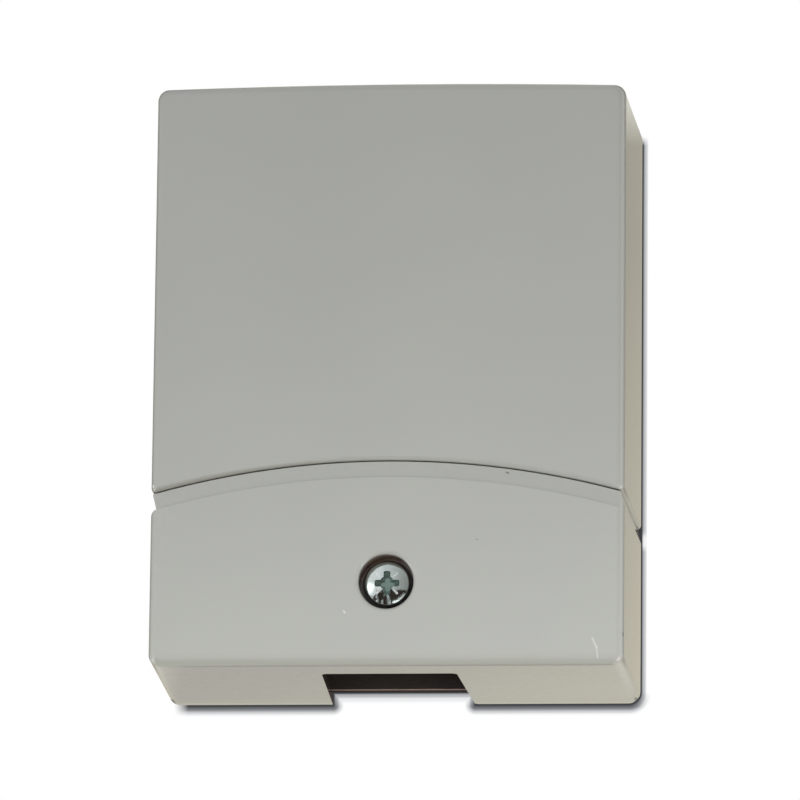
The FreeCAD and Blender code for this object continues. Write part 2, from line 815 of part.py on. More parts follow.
def cover_pillar():
    """The hexagonal pillar between the base plate and the cover screw."""
    corners = []
    for index in range(6):
        angle = math.radians(60 * index)
        corners.append(Vector(pillar_corner_radius * math.cos(angle), pillar_seat_y,
                              cover_screw_z + pillar_corner_radius * math.sin(angle)))
    hexagon = prism(corners, AXIS_Y * (pillar_top_y - pillar_seat_y))
    rounder = [
        (0.0, pillar_seat_y),
        (pillar_corner_radius + 1, pillar_seat_y),
        (pillar_corner_radius + 1, pillar_top_y + pillar_chamfer),
        (pillar_corner_radius - pillar_chamfer, pillar_top_y),
        (0.0, pillar_top_y),
    ]
    hexagon = single(hexagon.common(turned(rounder, 0, cover_screw_z)))
    stud = rod(0, cover_screw_z, cover_thread_radius, pillar_seat_y - 0.1, pillar_seat_y + pillar_stud_length)
    bore = rod(0, cover_screw_z, cover_thread_radius + thread_gap,
               pillar_top_y - 1, pillar_top_y + pillar_bore_length)
    return cut(fuse(hexagon, [stud]), [bore])


def circuit_board():
    """The board: stepped below for the cover's ears, notched for the wall screws and the pillar."""
    half_outline = [
        (board_lower_half_width, board_bottom_z),
        (board_lower_half_width, board_step_z),
        (board_half_width, board_step_z),
        (board_half_width, board_corner_notch_z),
        (board_corner_notch_x, board_corner_notch_z),
        (board_corner_notch_x, board_top_z),
    ]
    outline = [Vector(x, board_front_y, z) for x, z in half_outline]
    outline += [Vector(-x, board_front_y, z) for x, z in reversed(half_outline)]
    board = prism(outline, AXIS_Y * board_thickness)
    holes = [rod(x, z, small_clearance_radius, 0, front_y) for x, z in board_posts()]
    holes.append(rod(0, cover_screw_z, pillar_corner_radius + board_pillar_gap, 0, front_y))
    return cut(board, holes)


def small_screw(x, z, seat_y):
    """One of the small screws that hold the board and the upper cover."""
    return plain_screw(x, z, seat_y, small_thread_radius, small_screw_length,
                       small_head_radius, small_head_height)


def board_screws():
    """Four screws that hold the board on its posts."""
    return [small_screw(x, z, board_front_y) for x, z in board_posts()]


def upper_cover_screws():
    """Two screws through the upper cover's ears."""
    return [small_screw(side * ear_x, ear_z, ear_face_y - ear_thickness) for side in SIDES]


def sensor_cup():
    """The turned metal cup that passes the plate's vibration to the piezo ring."""
    cup = rod(0, sensor_z, sensor_radius, sensor_seat_y, sensor_rim_y)
    below = sensor_z - sensor_radius
    return cut(cup, [
        rod(0, sensor_z, sensor_radius - sensor_wall, sensor_floor_y, sensor_rim_y - 1),
        rod(0, sensor_z, sensor_bolt_radius + thread_gap, 0, sensor_rim_y),
        block(-sensor_notch_half, sensor_notch_half, sensor_rim_y - 1, sensor_rim_y + sensor_notch_half,
              below - 1, below + sensor_wall + 1),
    ])


def piezo_ring():
    """The ceramic ring that turns vibration into a voltage."""
    ring = rod(0, sensor_z, piezo_radius, sensor_floor_y, piezo_front_y)
    return cut(ring, [rod(0, sensor_z, sensor_bolt_radius + piezo_bolt_gap, 0, sensor_rim_y)])


def seismic_mass():
    """The brass weight clamped on the piezo ring."""
    weight = rod(0, sensor_z, mass_radius, piezo_front_y, mass_front_y)
    weight = weight.makeChamfer(mass_chamfer, edges_where(weight, lambda p: abs(p.y - mass_front_y) < 0.001))
    return cut(weight, [rod(0, sensor_z, sensor_bolt_radius + mass_bolt_gap, 0, sensor_rim_y)])


def sensor_bolt():
    """The bolt that clamps mass, ring and cup to the plate."""
    length = -sensor_bolt_end - mass_front_y
    return plain_screw(0, sensor_z, mass_front_y, sensor_bolt_radius, length,
                       sensor_bolt_head_radius, sensor_bolt_head_height)


def sensor_cap():
    """The lid that closes the sensor cup, with a spigot inside the rim."""
    face_y = sensor_rim_y - sensor_cap_thickness
    lid = round_face(rod(0, sensor_z, sensor_radius, sensor_rim_y, face_y), face_y, sensor_cap_rounding)
    outer = sensor_radius - sensor_wall - sensor_spigot_gap
    end_y = sensor_rim_y + sensor_spigot_height
    wire_half = sensor_notch_half + 0.2
    spigot = cut(rod(0, sensor_z, outer, end_y, sensor_rim_y), [
        rod(0, sensor_z, outer - sensor_spigot_wall, end_y, sensor_rim_y),
        block(-wire_half, wire_half, sensor_rim_y, end_y + 1, sensor_z - sensor_radius, sensor_z),
    ])
    return fuse(lid, [spigot])


def sensor_wires():
    """Two wires from the piezo ring, out of the cup's notch and up to the board's back."""
    start_y = sensor_floor_y - 0.5
    leave_y = sensor_rim_y + 0.8
    inner_z = sensor_z - piezo_radius - 0.55
    outer_z = sensor_z - sensor_radius - 2.0
    wires = []
    for side in SIDES:
        x = side * sensor_wire_x
        path = Part.makePolygon([
            Vector(x, start_y, inner_z),
            Vector(x, leave_y, inner_z),
            Vector(x, leave_y, outer_z),
            Vector(x, board_face_y, outer_z),
        ])
        section = Part.Wire(Part.makeCircle(sensor_wire_radius, Vector(x, start_y, inner_z), AXIS_Y))
        wires.append(path.makePipeShell([section], True, False, 2))
    return wires


def terminal_block(side):
    """One moulded terminal block with a wire entry and a screw well for each pole."""
    inner_x = side * terminal_inner_x
    outer_x = inner_x + side * terminal_pitch * terminal_count
    nose_y = terminal_front_y + terminal_nose
    body = block(inner_x, outer_x, board_front_y, nose_y, terminal_bottom_z, terminal_top_z)
    nose = block(inner_x, outer_x, nose_y, terminal_front_y,
                 terminal_bottom_z + terminal_step, terminal_top_z - terminal_step)
    body = fuse(body, [nose])
    half = terminal_cage_width / 2
    floor_y = board_front_y - terminal_floor
    for x in terminal_centres(side):
        entry = block(x - half, x + half, floor_y, floor_y - terminal_cage_width,
                      terminal_bottom_z - 1, terminal_bottom_z + terminal_entry_depth)
        well = rod(x, terminal_screw_z, terminal_well_radius, floor_y - half, terminal_front_y - 1)
        body = cut(body, [entry, well])
    return body


def terminal_centres(side):
    """Places of a block's poles along the board."""
    return [side * (terminal_inner_x + terminal_pitch * (i + 0.5)) for i in range(terminal_count)]


def terminal_screws():
    """The clamping screws of both blocks, sunk in their wells."""
    seat = terminal_front_y + terminal_screw_sink
    return [plain_screw(x, terminal_screw_z, seat, terminal_thread_radius, terminal_screw_length,
                        terminal_screw_radius, terminal_screw_head)
            for side in SIDES for x in terminal_centres(side)]


def terminal_cages():
    """The metal cages that the wires are clamped in."""
    cages = []
    half = terminal_cage_width / 2 - terminal_cage_gap
    back = board_front_y - terminal_floor - terminal_cage_gap
    front = back - 2 * half
    top = terminal_bottom_z + terminal_entry_depth - 0.1
    bottom = top - terminal_cage_height
    wall = terminal_cage_wall
    for side in SIDES:
        for x in terminal_centres(side):
            cage = block(x - half, x + half, back, front, bottom, top)
            cages.append(cut(cage, [
                block(x - half + wall, x + half - wall, back - wall, front + wall, bottom - 1, top + 1),
                rod(x, terminal_screw_z, terminal_thread_radius + thread_gap, back - 1, front - 1),
            ]))
    return cages


def relay():
    """The alarm relay's sealed case."""
    x, z = relay_place
    case = block(x - relay_half_width, x + relay_half_width, board_front_y, board_front_y - relay_thickness,
                 z - relay_half_height, z + relay_half_height)
    return case.makeFillet(relay_rounding, edges_where(case, lambda p: p.y < board_front_y - 0.5))


def chip_package(place, half_x, half_z, thickness, leads_across, leads_up, pitch):
    """A moulded chip with gull-wing leads on its upper and lower, and on its left and right sides."""
    x, z = place
    back_y = board_front_y - chip_standoff
    body = block(x - half_x, x + half_x, back_y, back_y - thickness, z - half_z, z + half_z)
    leads = []
    for angle in (0, 90, 180, 270):
        reach, count = (half_x, leads_up) if angle % 180 == 0 else (half_z, leads_across)
        for index in range(count):
            offset = (index - (count - 1) / 2) * pitch
            lead = gull_lead(reach, offset, pitch * 0.4, back_y - thickness * 0.45)
            lead.rotate(Vector(0, 0, 0), AXIS_Y, angle)
            lead.translate(Vector(x, 0, z))
            leads.append(lead)
    return fuse(body, leads)


def gull_lead(reach, offset, width, knee_y):
    """One lead that points along +X: out of the body, down to the board, and along it."""
    thick = chip_lead_thickness
    knee = reach + 0.5
    toe = reach + 1.3
    outline = [
        (reach - 0.1, knee_y),
        (knee - thick, knee_y),
        (knee - thick, board_front_y),
        (toe, board_front_y),
        (toe, board_front_y - thick),
        (knee, board_front_y - thick),
        (knee, knee_y - thick),
        (reach - 0.1, knee_y - thick),
    ]
    return prism([Vector(x, y, offset - width / 2) for x, y in outline], AXIS_Z * width)


def controller_chip():
    """The square chip that judges the sensor's signal."""
    return chip_package(controller_place, controller_half, controller_half, controller_thickness,
                        controller_lead_count, controller_lead_count, controller_pitch)


def amplifier_chip():
    """The narrow chip that amplifies the sensor's signal."""
    return chip_package(amplifier_place, amplifier_half_width, amplifier_half_height,
                        amplifier_thickness, amplifier_lead_count, 0, amplifier_pitch)


def capacitors():
    """Three can capacitors, each with a crimped groove near the board."""
    cans = [(place, small_capacitor) for place in small_capacitor_places]
    cans.append((large_capacitor_place, large_capacitor))
    solids = []
    for (x, z), (radius, height) in cans:
        top = board_front_y - height
        groove = board_front_y - capacitor_groove_height
        solids.append(turned([
            (0.0, board_front_y),
            (radius, board_front_y),
            (radius, groove + 0.4),
            (radius - capacitor_groove, groove),
            (radius, groove - 0.4),
            (radius, top + 0.5),
            (radius - 0.5, top),
            (0.0, top),
        ], x, z))
    return solids


def crystal():
    """The clock crystal's flat can."""
    x, z = crystal_place
    top = board_front_y - crystal_thickness
    body = block(x - crystal_half_width, x + crystal_half_width, board_front_y, top,
                 z - crystal_end_radius, z + crystal_end_radius)
    ends = [rod(x + side * crystal_half_width, z, crystal_end_radius, board_front_y, top) for side in SIDES]
    return fuse(body, ends)


def surge_suppressors():
    """Three surge suppressor diodes beside the terminals."""
    return [block(x - suppressor_half_width, x + suppressor_half_width,
                  board_front_y, board_front_y - suppressor_thickness,
                  z - suppressor_half_height, z + suppressor_half_height)
            for x, z in suppressor_places]


def status_led():
    """The small lamp beside the jumpers: a round collar with a domed lens."""
    x, z = led_place
    collar_y = board_front_y - led_collar_height
    dome_y = board_front_y - led_height
    collar = rod(x, z, led_collar_radius, board_front_y, collar_y)
    lens = rod(x, z, led_radius, collar_y, dome_y)
    return fuse(collar, [lens, Part.makeSphere(led_radius, Vector(x, dome_y, z))])


def jumper_pairs():
    """Places of the pairs of pins for the sensitivity jumpers."""
    x, z = jumper_place
    return [(x + jumper_pitch * (i - (jumper_count - 1) / 2), z) for i in range(jumper_count)]


def jumper_pins(x, z, half, back_y, front_y):
    """Two square bars through a pair of pin places."""
    return [block(x - half, x + half, back_y, front_y,
                  z + side * jumper_pitch / 2 - half, z + side * jumper_pitch / 2 + half)
            for side in SIDES]


def jumper_header():
    """The pin header for the sensitivity jumpers."""
    x, z = jumper_place
    half = jumper_pitch * jumper_count / 2
    base = block(x - half, x + half, board_front_y, board_front_y - jumper_base_height,
                 z - jumper_pitch, z + jumper_pitch)
    pin_end_y = board_front_y - jumper_pin_height
    for x, z in jumper_pairs():
        base = fuse(base, jumper_pins(x, z, jumper_pin_half, board_front_y, pin_end_y))
    return base


def jumper_links():
    """Two links, on the first and the third pair of pins."""
    links = []
    for x, z in jumper_pairs()[0::2]:
        link = block(x - jumper_link_half_width, x + jumper_link_half_width,
                     board_front_y - jumper_base_height - jumper_link_gap, board_front_y - jumper_link_top,
                     z - jumper_link_half_height, z + jumper_link_half_height)
        links.append(cut(link, jumper_pins(x, z, jumper_pin_half + jumper_link_gap,
                                           board_front_y, board_front_y - jumper_link_top - 1)))
    return links


def cover_switch():
    """The contact under the lower cover, with the bore for its plunger."""
    half = cover_switch_size / 2
    body = block(-half, half, board_front_y, cover_switch_face_y,
                 cover_switch_z - half, cover_switch_z + half)
    return cut(body, [rod(0, cover_switch_z, cover_plunger_radius + running_gap,
                          board_front_y - cover_switch_floor, cover_switch_face_y - 1)])


def cover_plunger():
    """The plunger that the closed lower cover holds in."""
    face_y = plunger_head_y + cover_boss_gap
    stem_end = board_front_y - cover_switch_floor - cover_plunger_overtravel - cover_plunger_clearance
    head = rod(0, cover_switch_z, cover_plunger_head_radius, plunger_head_y + cover_plunger_head, face_y)
    stem = rod(0, cover_switch_z, cover_plunger_radius, stem_end, plunger_head_y + cover_plunger_head / 2)
    return fuse(round_face(head, face_y, 0.3), [stem])


def coil_spring(x, z, y_back, y_front, radius, wire, turns):
    """A compression spring along Y between two depths: eight-sided wire, bent in short steps."""
    steps = 16 * turns
    rise = (abs(y_back - y_front) - wire) / steps
    corner_radius = wire / 2 / math.cos(math.pi / 8)
    outlines = []
    for step in range(steps + 1):
        angle = 2 * math.pi * step / 16
        y = y_back - wire / 2 - rise * step
        points = []
        for corner in range(8):
            around = math.pi * (2 * corner + 1) / 8
            reach = radius + corner_radius * math.cos(around)
            points.append(Vector(x + reach * math.cos(angle), y + corner_radius * math.sin(around),
                                 z + reach * math.sin(angle)))
        outlines.append(closed(points))
    return single(Part.makeLoft(outlines, True, True))


def cover_spring():
    """The spring under the cover contact's head."""
    return coil_spring(0, cover_switch_z, cover_switch_face_y, cover_switch_face_y - cover_spring_length,
                       cover_spring_radius, cover_spring_wire, 3)


def wall_plunger():
    """The sprung pin that the guarded surface holds in through the base plate."""
    x, z = wall_contact_x, wall_contact_z
    collar_front = wall_collar_y - wall_collar_thickness
    stem_end = board_face_y + wall_switch_height + wall_button_gap
    pin = round_face(rod(x, z, wall_pin_radius, 0, wall_collar_y), 0, wall_pin_rounding)
    collar = rod(x, z, wall_collar_radius, wall_collar_y, collar_front)
    return fuse(pin, [collar, rod(x, z, wall_stem_radius, collar_front, stem_end)])


def wall_spring():
    """The spring that pushes the wall plunger out."""
    return coil_spring(wall_contact_x, wall_contact_z, wall_collar_y - wall_collar_thickness,
                       wall_tube_top_y + wall_cap_plug, wall_spring_radius, wall_spring_wire, 4)


def wall_cap():
    """The cap that closes the plunger's tube and guides its stem."""
    x, z = wall_contact_x, wall_contact_z
    plug_radius = wall_collar_radius + wall_collar_gap - thread_gap
    flange = rod(x, z, wall_tube_radius, wall_tube_top_y, wall_tube_top_y - wall_cap_flange)
    plug = rod(x, z, plug_radius, wall_tube_top_y + wall_cap_plug, wall_tube_top_y)
    return cut(fuse(flange, [plug]), [rod(x, z, wall_stem_radius + running_gap, 0, front_y)])


def wall_switch():
    """The contact on the board's back that the wall plunger presses."""
    x, z = wall_contact_x, wall_contact_z
    top_y = board_face_y + wall_switch_height
    body = block(x - wall_switch_half, x + wall_switch_half, board_face_y, top_y - wall_button_rise,
                 z - wall_switch_half, z + wall_switch_half)
    return fuse(body, [rod(x, z, wall_button_radius, board_face_y, top_y)])


def cable_clamp():
    """The bar that grips the cable: ribbed behind, with an ear for each screw."""
    half = clamp_post_x + clamp_ear
    low = clamp_z - clamp_bar_height / 2
    bar = block(-half, half, clamp_back_y, clamp_front_y, low, low + clamp_bar_height)
    bar = round_face(bar, clamp_front_y, 0.8)
    for z in (low + 1.0, clamp_z, low + clamp_bar_height - 1.0):
        tooth = [(clamp_back_y + 0.6, z), (clamp_back_y - 0.2, z - 0.7), (clamp_back_y - 0.2, z + 0.7)]
        bar = fuse(bar, [prism([Vector(-clamp_tooth_half_length, y, z) for y, z in tooth],
                               AXIS_X * 2 * clamp_tooth_half_length)])
    return cut(bar, [rod(side * clamp_post_x, clamp_z, clamp_thread_radius + 0.25, 0, front_y)
                     for side in SIDES])


def clamp_screws():
    """The two screws of the cable clamp."""
    return [plain_screw(side * clamp_post_x, clamp_z, clamp_front_y, clamp_thread_radius,
                        clamp_screw_length, clamp_head_radius, clamp_head_height)
            for side in SIDES]


def write(name, shape):
    """Writes one piece, or a group of like pieces, as a STEP file."""
    if isinstance(shape, list):
        shape = Part.makeCompound(shape)
    shape.exportStep("parts/" + name + ".step")
    print(name, len(shape.Solids), round(shape.Volume, 1), shape.isValid())


os.makedirs("parts", exist_ok=True)

write("base_plate", base_plate())
write("upper_cover", upper_cover())
write("lower_cover", lower_cover())
write("cover_screw", cover_screw())
write("captive_washer", captive_washer())
write("cover_pillar", cover_pillar())
write("upper_cover_screws", upper_cover_screws())
write("circuit_board", circuit_board())
write("board_screws", board_screws())
write("sensor_cup", sensor_cup())
write("piezo_ring", piezo_ring())
write("seismic_mass", seismic_mass())
write("sensor_bolt", sensor_bolt())
write("sensor_cap", sensor_cap())
write("sensor_wires", sensor_wires())
write("terminal_block_left", terminal_block(-1))
write("terminal_block_right", terminal_block(1))
write("terminal_cages", terminal_cages())
write("terminal_screws", terminal_screws())
write("relay", relay())
write("controller_chip", controller_chip())
write("amplifier_chip", amplifier_chip())
write("capacitors", capacitors())
write("crystal", crystal())
write("surge_suppressors", surge_suppressors())
write("status_led", status_led())
write("jumper_header", jumper_header())
write("jumper_links", jumper_links())
write("cover_switch", cover_switch())
write("cover_plunger", cover_plunger())
write("cover_spring", cover_spring())
write("wall_plunger", wall_plunger())
write("wall_spring", wall_spring())
write("wall_cap", wall_cap())
write("wall_switch", wall_switch())
write("cable_clamp", cable_clamp())
write("clamp_screws", clamp_screws())
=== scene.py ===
# %% [markdown]
# # A seismic vibration detector on a white surface
#
# The detector is a flat upright box of two painted die-castings. A fixed upper cover and a
# removable lower cover meet in a curved joint. One plated screw sits in a round well, and a
# cable leaves through a cut-out in the bottom wall. This lesson dresses the measured solids:
# it adds the finishes, the lamps, the surface behind the detector and the camera. The solids
# keep their size, their place and their shape, so only materials change how they look.

# %% The frame
import bpy
import math
from mathutils import Matrix, Vector


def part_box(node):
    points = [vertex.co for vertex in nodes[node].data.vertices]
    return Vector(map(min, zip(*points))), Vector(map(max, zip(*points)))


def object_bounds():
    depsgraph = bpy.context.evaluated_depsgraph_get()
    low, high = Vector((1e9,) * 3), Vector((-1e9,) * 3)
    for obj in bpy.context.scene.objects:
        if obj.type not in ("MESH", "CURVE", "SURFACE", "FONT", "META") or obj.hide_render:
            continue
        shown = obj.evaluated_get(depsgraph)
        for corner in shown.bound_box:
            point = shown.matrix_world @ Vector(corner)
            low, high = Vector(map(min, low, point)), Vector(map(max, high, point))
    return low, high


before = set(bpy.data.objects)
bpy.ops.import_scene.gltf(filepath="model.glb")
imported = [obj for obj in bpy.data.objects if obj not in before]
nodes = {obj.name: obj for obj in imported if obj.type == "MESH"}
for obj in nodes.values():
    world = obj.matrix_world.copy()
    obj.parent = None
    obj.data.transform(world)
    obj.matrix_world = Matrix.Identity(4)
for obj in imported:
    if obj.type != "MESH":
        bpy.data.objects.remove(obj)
solid_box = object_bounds()
print("solids loaded:", len(nodes))

# %% [markdown]
# ## A short way to build materials
#
# A material is a graph of nodes. Building each graph by hand fills a page, so these helpers
# add a node, set its inputs and wire it in one line. Colours are written as they look on a
# screen and turned into the linear values that a renderer works with.

# %% Helpers for node graphs
FLOAT = "NodeSocketFloat"
VECTOR = "NodeSocketVector"
WHITE = (1.0, 1.0, 1.0, 1.0)


def linear(red, green, blue):
    """A screen colour from 0 to 255 as linear values with full alpha."""
    values = []
    for channel in (red, green, blue):
        share = channel / 255
        values.append(share / 12.92 if share <= 0.04045 else ((share + 0.055) / 1.055) ** 2.4)
    return (*values, 1.0)


def connect(tree, value, socket):
    """Wires a socket to another, or sets it where the value is a number or a colour."""
    if isinstance(value, bpy.types.NodeSocket):
        tree.links.new(value, socket)
    else:
        socket.default_value = value


def add(tree, kind, inputs=None, **settings):
    """Adds a node with its settings, and sets or wires its inputs."""
    node = tree.nodes.new(kind)
    for name, value in settings.items():
        setattr(node, name, value)
    for name, value in (inputs or {}).items():
        connect(tree, value, node.inputs[name])
    return node


def mix(tree, factor, first, second):
    """Mixes two colours and returns the result's socket."""
    node = add(tree, "ShaderNodeMix", data_type="RGBA")
    for socket, value in ((node.inputs[0], factor), (node.inputs[6], first), (node.inputs[7], second)):
        connect(tree, value, socket)
    return node.outputs[2]


def new_group(name, inputs, outputs):
    """Starts a shader node group with named sockets and returns its tree and both ends."""
    tree = bpy.data.node_groups.new(name, "ShaderNodeTree")
    for socket_name, kind, value in inputs:
        socket = tree.interface.new_socket(socket_name, in_out="INPUT", socket_type=kind)
        socket.default_value = value
    for socket_name, kind in outputs:
        tree.interface.new_socket(socket_name, in_out="OUTPUT", socket_type=kind)
    return tree, tree.nodes.new("NodeGroupInput").outputs, tree.nodes.new("NodeGroupOutput").inputs


print("colour check, screen grey 188 in linear light:", round(linear(188, 188, 188)[0], 3))

# %% [markdown]
# ## Sums on places
#
# Many masks here follow from where a point lies: how far it is from a middle, or how far
# outside an outline. Object coordinates are metres in the solids' own frame, so a size of the
# real detector can be written into a mask as it is.

# %% Helpers for masks
def maths(tree, operation, first, second=0.0, clamp=False):
    """Does one sum with two sockets or numbers and returns the result's socket."""
    node = add(tree, "ShaderNodeMath", operation=operation, use_clamp=clamp)
    for socket, value in zip(node.inputs, (first, second)):
        connect(tree, value, socket)
    return node.outputs[0]


def product(tree, first, *others):
    """Multiplies values. Where they are masks, only what lies in all of them stays."""
    for other in others:
        first = maths(tree, "MULTIPLY", first, other)
    return first


def length(tree, first, second):
    """The straight distance that two distances at right angles make."""
    squares = (product(tree, value, value) for value in (first, second))
    return maths(tree, "SQRT", maths(tree, "ADD", *squares))


def fade(tree, value, low, high):
    """Spreads the part of a value between two limits over 0 to 1."""
    node = add(tree, "ShaderNodeMapRange", {"Value": value, "From Min": low, "From Max": high})
    return node.outputs["Result"]


def object_place(tree):
    """Where a point lies on its object, in metres."""
    return add(tree, "ShaderNodeTexCoord").outputs["Object"]


def noise(tree, place, scale, detail):
    """Smooth noise around a half, with finer noise on it for more detail."""
    node = add(tree, "ShaderNodeTexNoise", {"Vector": place, "Scale": scale, "Detail": detail})
    return node.outputs[0]


def coordinates(tree):
    """The X, Y and Z of a point on its object, as sockets."""
    return add(tree, "ShaderNodeSeparateXYZ", {"Vector": object_place(tree)}).outputs


print("helpers ready")

# %% [markdown]
# ## Effects that several finishes share
#
# Real surfaces are never even. Four effects repeat on this detector: a fine uneven skin, worn
# edges, thin scratches and small specks of dirt. Each one is a group that is built once.
# Each material then sets its own strengths, which keeps the materials short and alike.
#
# The first is the skin. Paint flows a little before it dries, and castings and mouldings are
# grained. Moving the mesh would change the measured solids, so a bump does it, from one noise
# for ripples and one for grain. A third, slow noise says where colour and gloss drift.

# %% Group: uneven skin
def build_skin():
    """Soft ripples and fine grain: a height, and a slow patchy mask for colour and gloss."""
    tree, given, out = new_group("uneven_skin", [
        ("Ripple Scale", FLOAT, 300.0), ("Grain Scale", FLOAT, 3000.0), ("Grain Share", FLOAT, 0.3),
        ("Patch Scale", FLOAT, 40.0),
    ], [("Height", FLOAT), ("Patches", FLOAT)])
    place = object_place(tree)
    ripple = noise(tree, place, given["Ripple Scale"], 2.0)
    grain = noise(tree, place, given["Grain Scale"], 3.0)
    patch = noise(tree, place, given["Patch Scale"], 4.0)
    fine = product(tree, grain, given["Grain Share"])
    tree.links.new(maths(tree, "ADD", ripple, fine), out["Height"])
    tree.links.new(fade(tree, patch, 0.35, 0.65), out["Patches"])
    return tree


skin_group = build_skin()
print("sockets of the skin:", [item.name for item in skin_group.interface.items_tree])

# %% [markdown]
# ## Worn edges
#
# Hands and cloths rub the convex edges first. The renderer knows how sharp the mesh is at
# each point, which finds the edges without marking them by hand. Noise breaks the line up,
# because an even pale outline looks drawn and not worn.

# %% Group: worn edges
def build_wear():
    """Where convex edges lose their finish, broken up by noise so that it isn't an even line."""
    tree, given, out = new_group("worn_edges", [
        ("Amount", FLOAT, 0.5), ("Break Scale", FLOAT, 900.0), ("Start", FLOAT, 0.52), ("End", FLOAT, 0.60),
    ], [("Mask", FLOAT)])
    sharp = add(tree, "ShaderNodeNewGeometry").outputs["Pointiness"]
    broken = noise(tree, object_place(tree), given["Break Scale"], 4.0)
    worn = product(tree, fade(tree, sharp, given["Start"], given["End"]), fade(tree, broken, 0.42, 0.62))
    tree.links.new(maths(tree, "MULTIPLY", worn, given["Amount"], clamp=True), out["Mask"])
    return tree


wear_group = build_wear()
print("sockets of the wear:", [item.name for item in wear_group.interface.items_tree])

# %% [markdown]
# ## Thin scratches
#
# Wiping leaves hairlines on plating and enamel. Noise that is stretched along a line and cut
# off near its top gives short straight streaks. Two directions that cross are enough, because
# only the highest peaks of the noise show.

# %% Group: thin scratches
def build_scratches():
    """Short straight hairlines in two directions, from noise that is stretched along each line."""
    tree, given, out = new_group("thin_scratches", [
        ("Scale", FLOAT, 60.0), ("Amount", FLOAT, 0.5), ("Threshold", FLOAT, 0.72),
    ], [("Mask", FLOAT)])
    place = object_place(tree)
    lines = []
    for turn, stretch in ((0.6, (1.0, 1.0, 26.0)), (-0.9, (30.0, 1.0, 1.0))):
        laid = add(tree, "ShaderNodeMapping", {
            "Vector": place, "Rotation": (0.0, turn, 0.0), "Scale": stretch})
        stretched = noise(tree, laid.outputs[0], given["Scale"], 1.0)
        top = maths(tree, "SUBTRACT", stretched, given["Threshold"])
        lines.append(maths(tree, "MULTIPLY", top, 40.0, clamp=True))
    both = maths(tree, "MAXIMUM", *lines)
    tree.links.new(product(tree, both, given["Amount"]), out["Mask"])
    return tree


scratch_group = build_scratches()
print("sockets of the scratches:", [item.name for item in scratch_group.interface.items_tree])

# %% [markdown]
# ## Specks
#
# Dust and grit sit in small round spots, few and far apart. A cell pattern gives one middle
# for each cell, and the cell's random colour decides whether it gets a speck. Plain noise
# would give blots of all sizes that run into each other.

# %% Group: specks
def build_specks():
    """Rare round specks: the middles of a few cells of a cell pattern."""
    tree, given, out = new_group("specks", [
        ("Scale", FLOAT, 150.0), ("Size", FLOAT, 0.12), ("Share", FLOAT, 0.06), ("Amount", FLOAT, 0.5),
    ], [("Mask", FLOAT)])
    cells = add(tree, "ShaderNodeTexVoronoi", {"Vector": object_place(tree), "Scale": given["Scale"]})
    near = fade(tree, cells.outputs["Distance"], given["Size"], 0.0)
    luck = add(tree, "ShaderNodeSeparateColor", {"Color": cells.outputs["Color"]}).outputs["Red"]
    chosen = maths(tree, "LESS_THAN", luck, given["Share"])
    dots = product(tree, maths(tree, "MULTIPLY", near, 3.0, clamp=True), chosen)
    tree.links.new(product(tree, dots, given["Amount"]), out["Mask"])
    return tree


speck_group = build_specks()
print("shared effects:", [group.name for group in bpy.data.node_groups])

# %% [markdown]
# ## A pattern for the finishes
#
# Every finish here starts from the same recipe: a base colour that drifts slightly in slow
# patches, darker specks, brighter scratches and edges, and a small bump from the skin. One
# function builds the recipe, because the finishes differ in their numbers and not in their
# plan. What a group can't hold, such as the Principled shader itself, stays in each material.

# %% The common finish
scratch_colour = linear(225, 225, 222)
speck_colour = linear(60, 52, 45)


def finish(name, colour, drift, roughness, gloss_spread=0.08, metallic=0.0, coat=0.0, coat_roughness=0.1,
           skin=None, bump=0.05, worn=None, worn_amount=0.0, scratches=0.0, specks=0.0):
    """A Principled material with patchy colour, specks, scratches, worn edges and a fine bump."""
    material = bpy.data.materials.new(name)
    material.use_nodes = True
    tree = material.node_tree
    shader = tree.nodes["Principled BSDF"]

    def use(group, **settings):
        node = add(tree, "ShaderNodeGroup", node_tree=group)
        for key, value in settings.items():
            node.inputs[key.replace("_", " ")].default_value = value
        return node.outputs

    surface = use(skin_group, **(skin or {}))
    patches = surface["Patches"]
    paint = mix(tree, patches, colour, drift)
    rough = maths(tree, "ADD", product(tree, patches, gloss_spread), roughness)
    if specks:
        paint = mix(tree, use(speck_group, Amount=specks)["Mask"], paint, speck_colour)
    if scratches:
        lines = use(scratch_group, Amount=scratches)["Mask"]
        paint = mix(tree, lines, paint, scratch_colour)
        rough = maths(tree, "ADD", rough, product(tree, lines, 0.2))
    if worn:
        paint = mix(tree, use(wear_group, Amount=worn_amount)["Mask"], paint, worn)
    tree.links.new(paint, shader.inputs["Base Color"])
    tree.links.new(rough, shader.inputs["Roughness"])
    shader.inputs["Metallic"].default_value = metallic
    shader.inputs["Coat Weight"].default_value = coat
    shader.inputs["Coat Roughness"].default_value = coat_roughness
    relief = add(tree, "ShaderNodeBump", {"Height": surface["Height"], "Strength": bump, "Distance": 0.0002})
    tree.links.new(relief.outputs[0], shader.inputs["Normal"])
    return material


def painted(material):
    """A material's tree, its shader and the colour that reaches the shader so far."""
    tree = material.node_tree
    shader = tree.nodes["Principled BSDF"]
    return tree, shader, shader.inputs["Base Color"].links[0].from_socket


def dress(material, *names):
    """Gives a finish to the named solids."""
    for name in names:
        for slot in nodes[name].material_slots:
            slot.material = material


print("the finishes share", len(bpy.data.node_groups), "groups")

# %% [markdown]
# ## The enamel of the covers
#
# Both covers are sprayed with the same light grey enamel, so they share one material. Enamel
# is a coloured layer under a clear glossy one: the Coat of the Principled shader is made for
# that. Spraying leaves very soft ripples that only show in reflections.

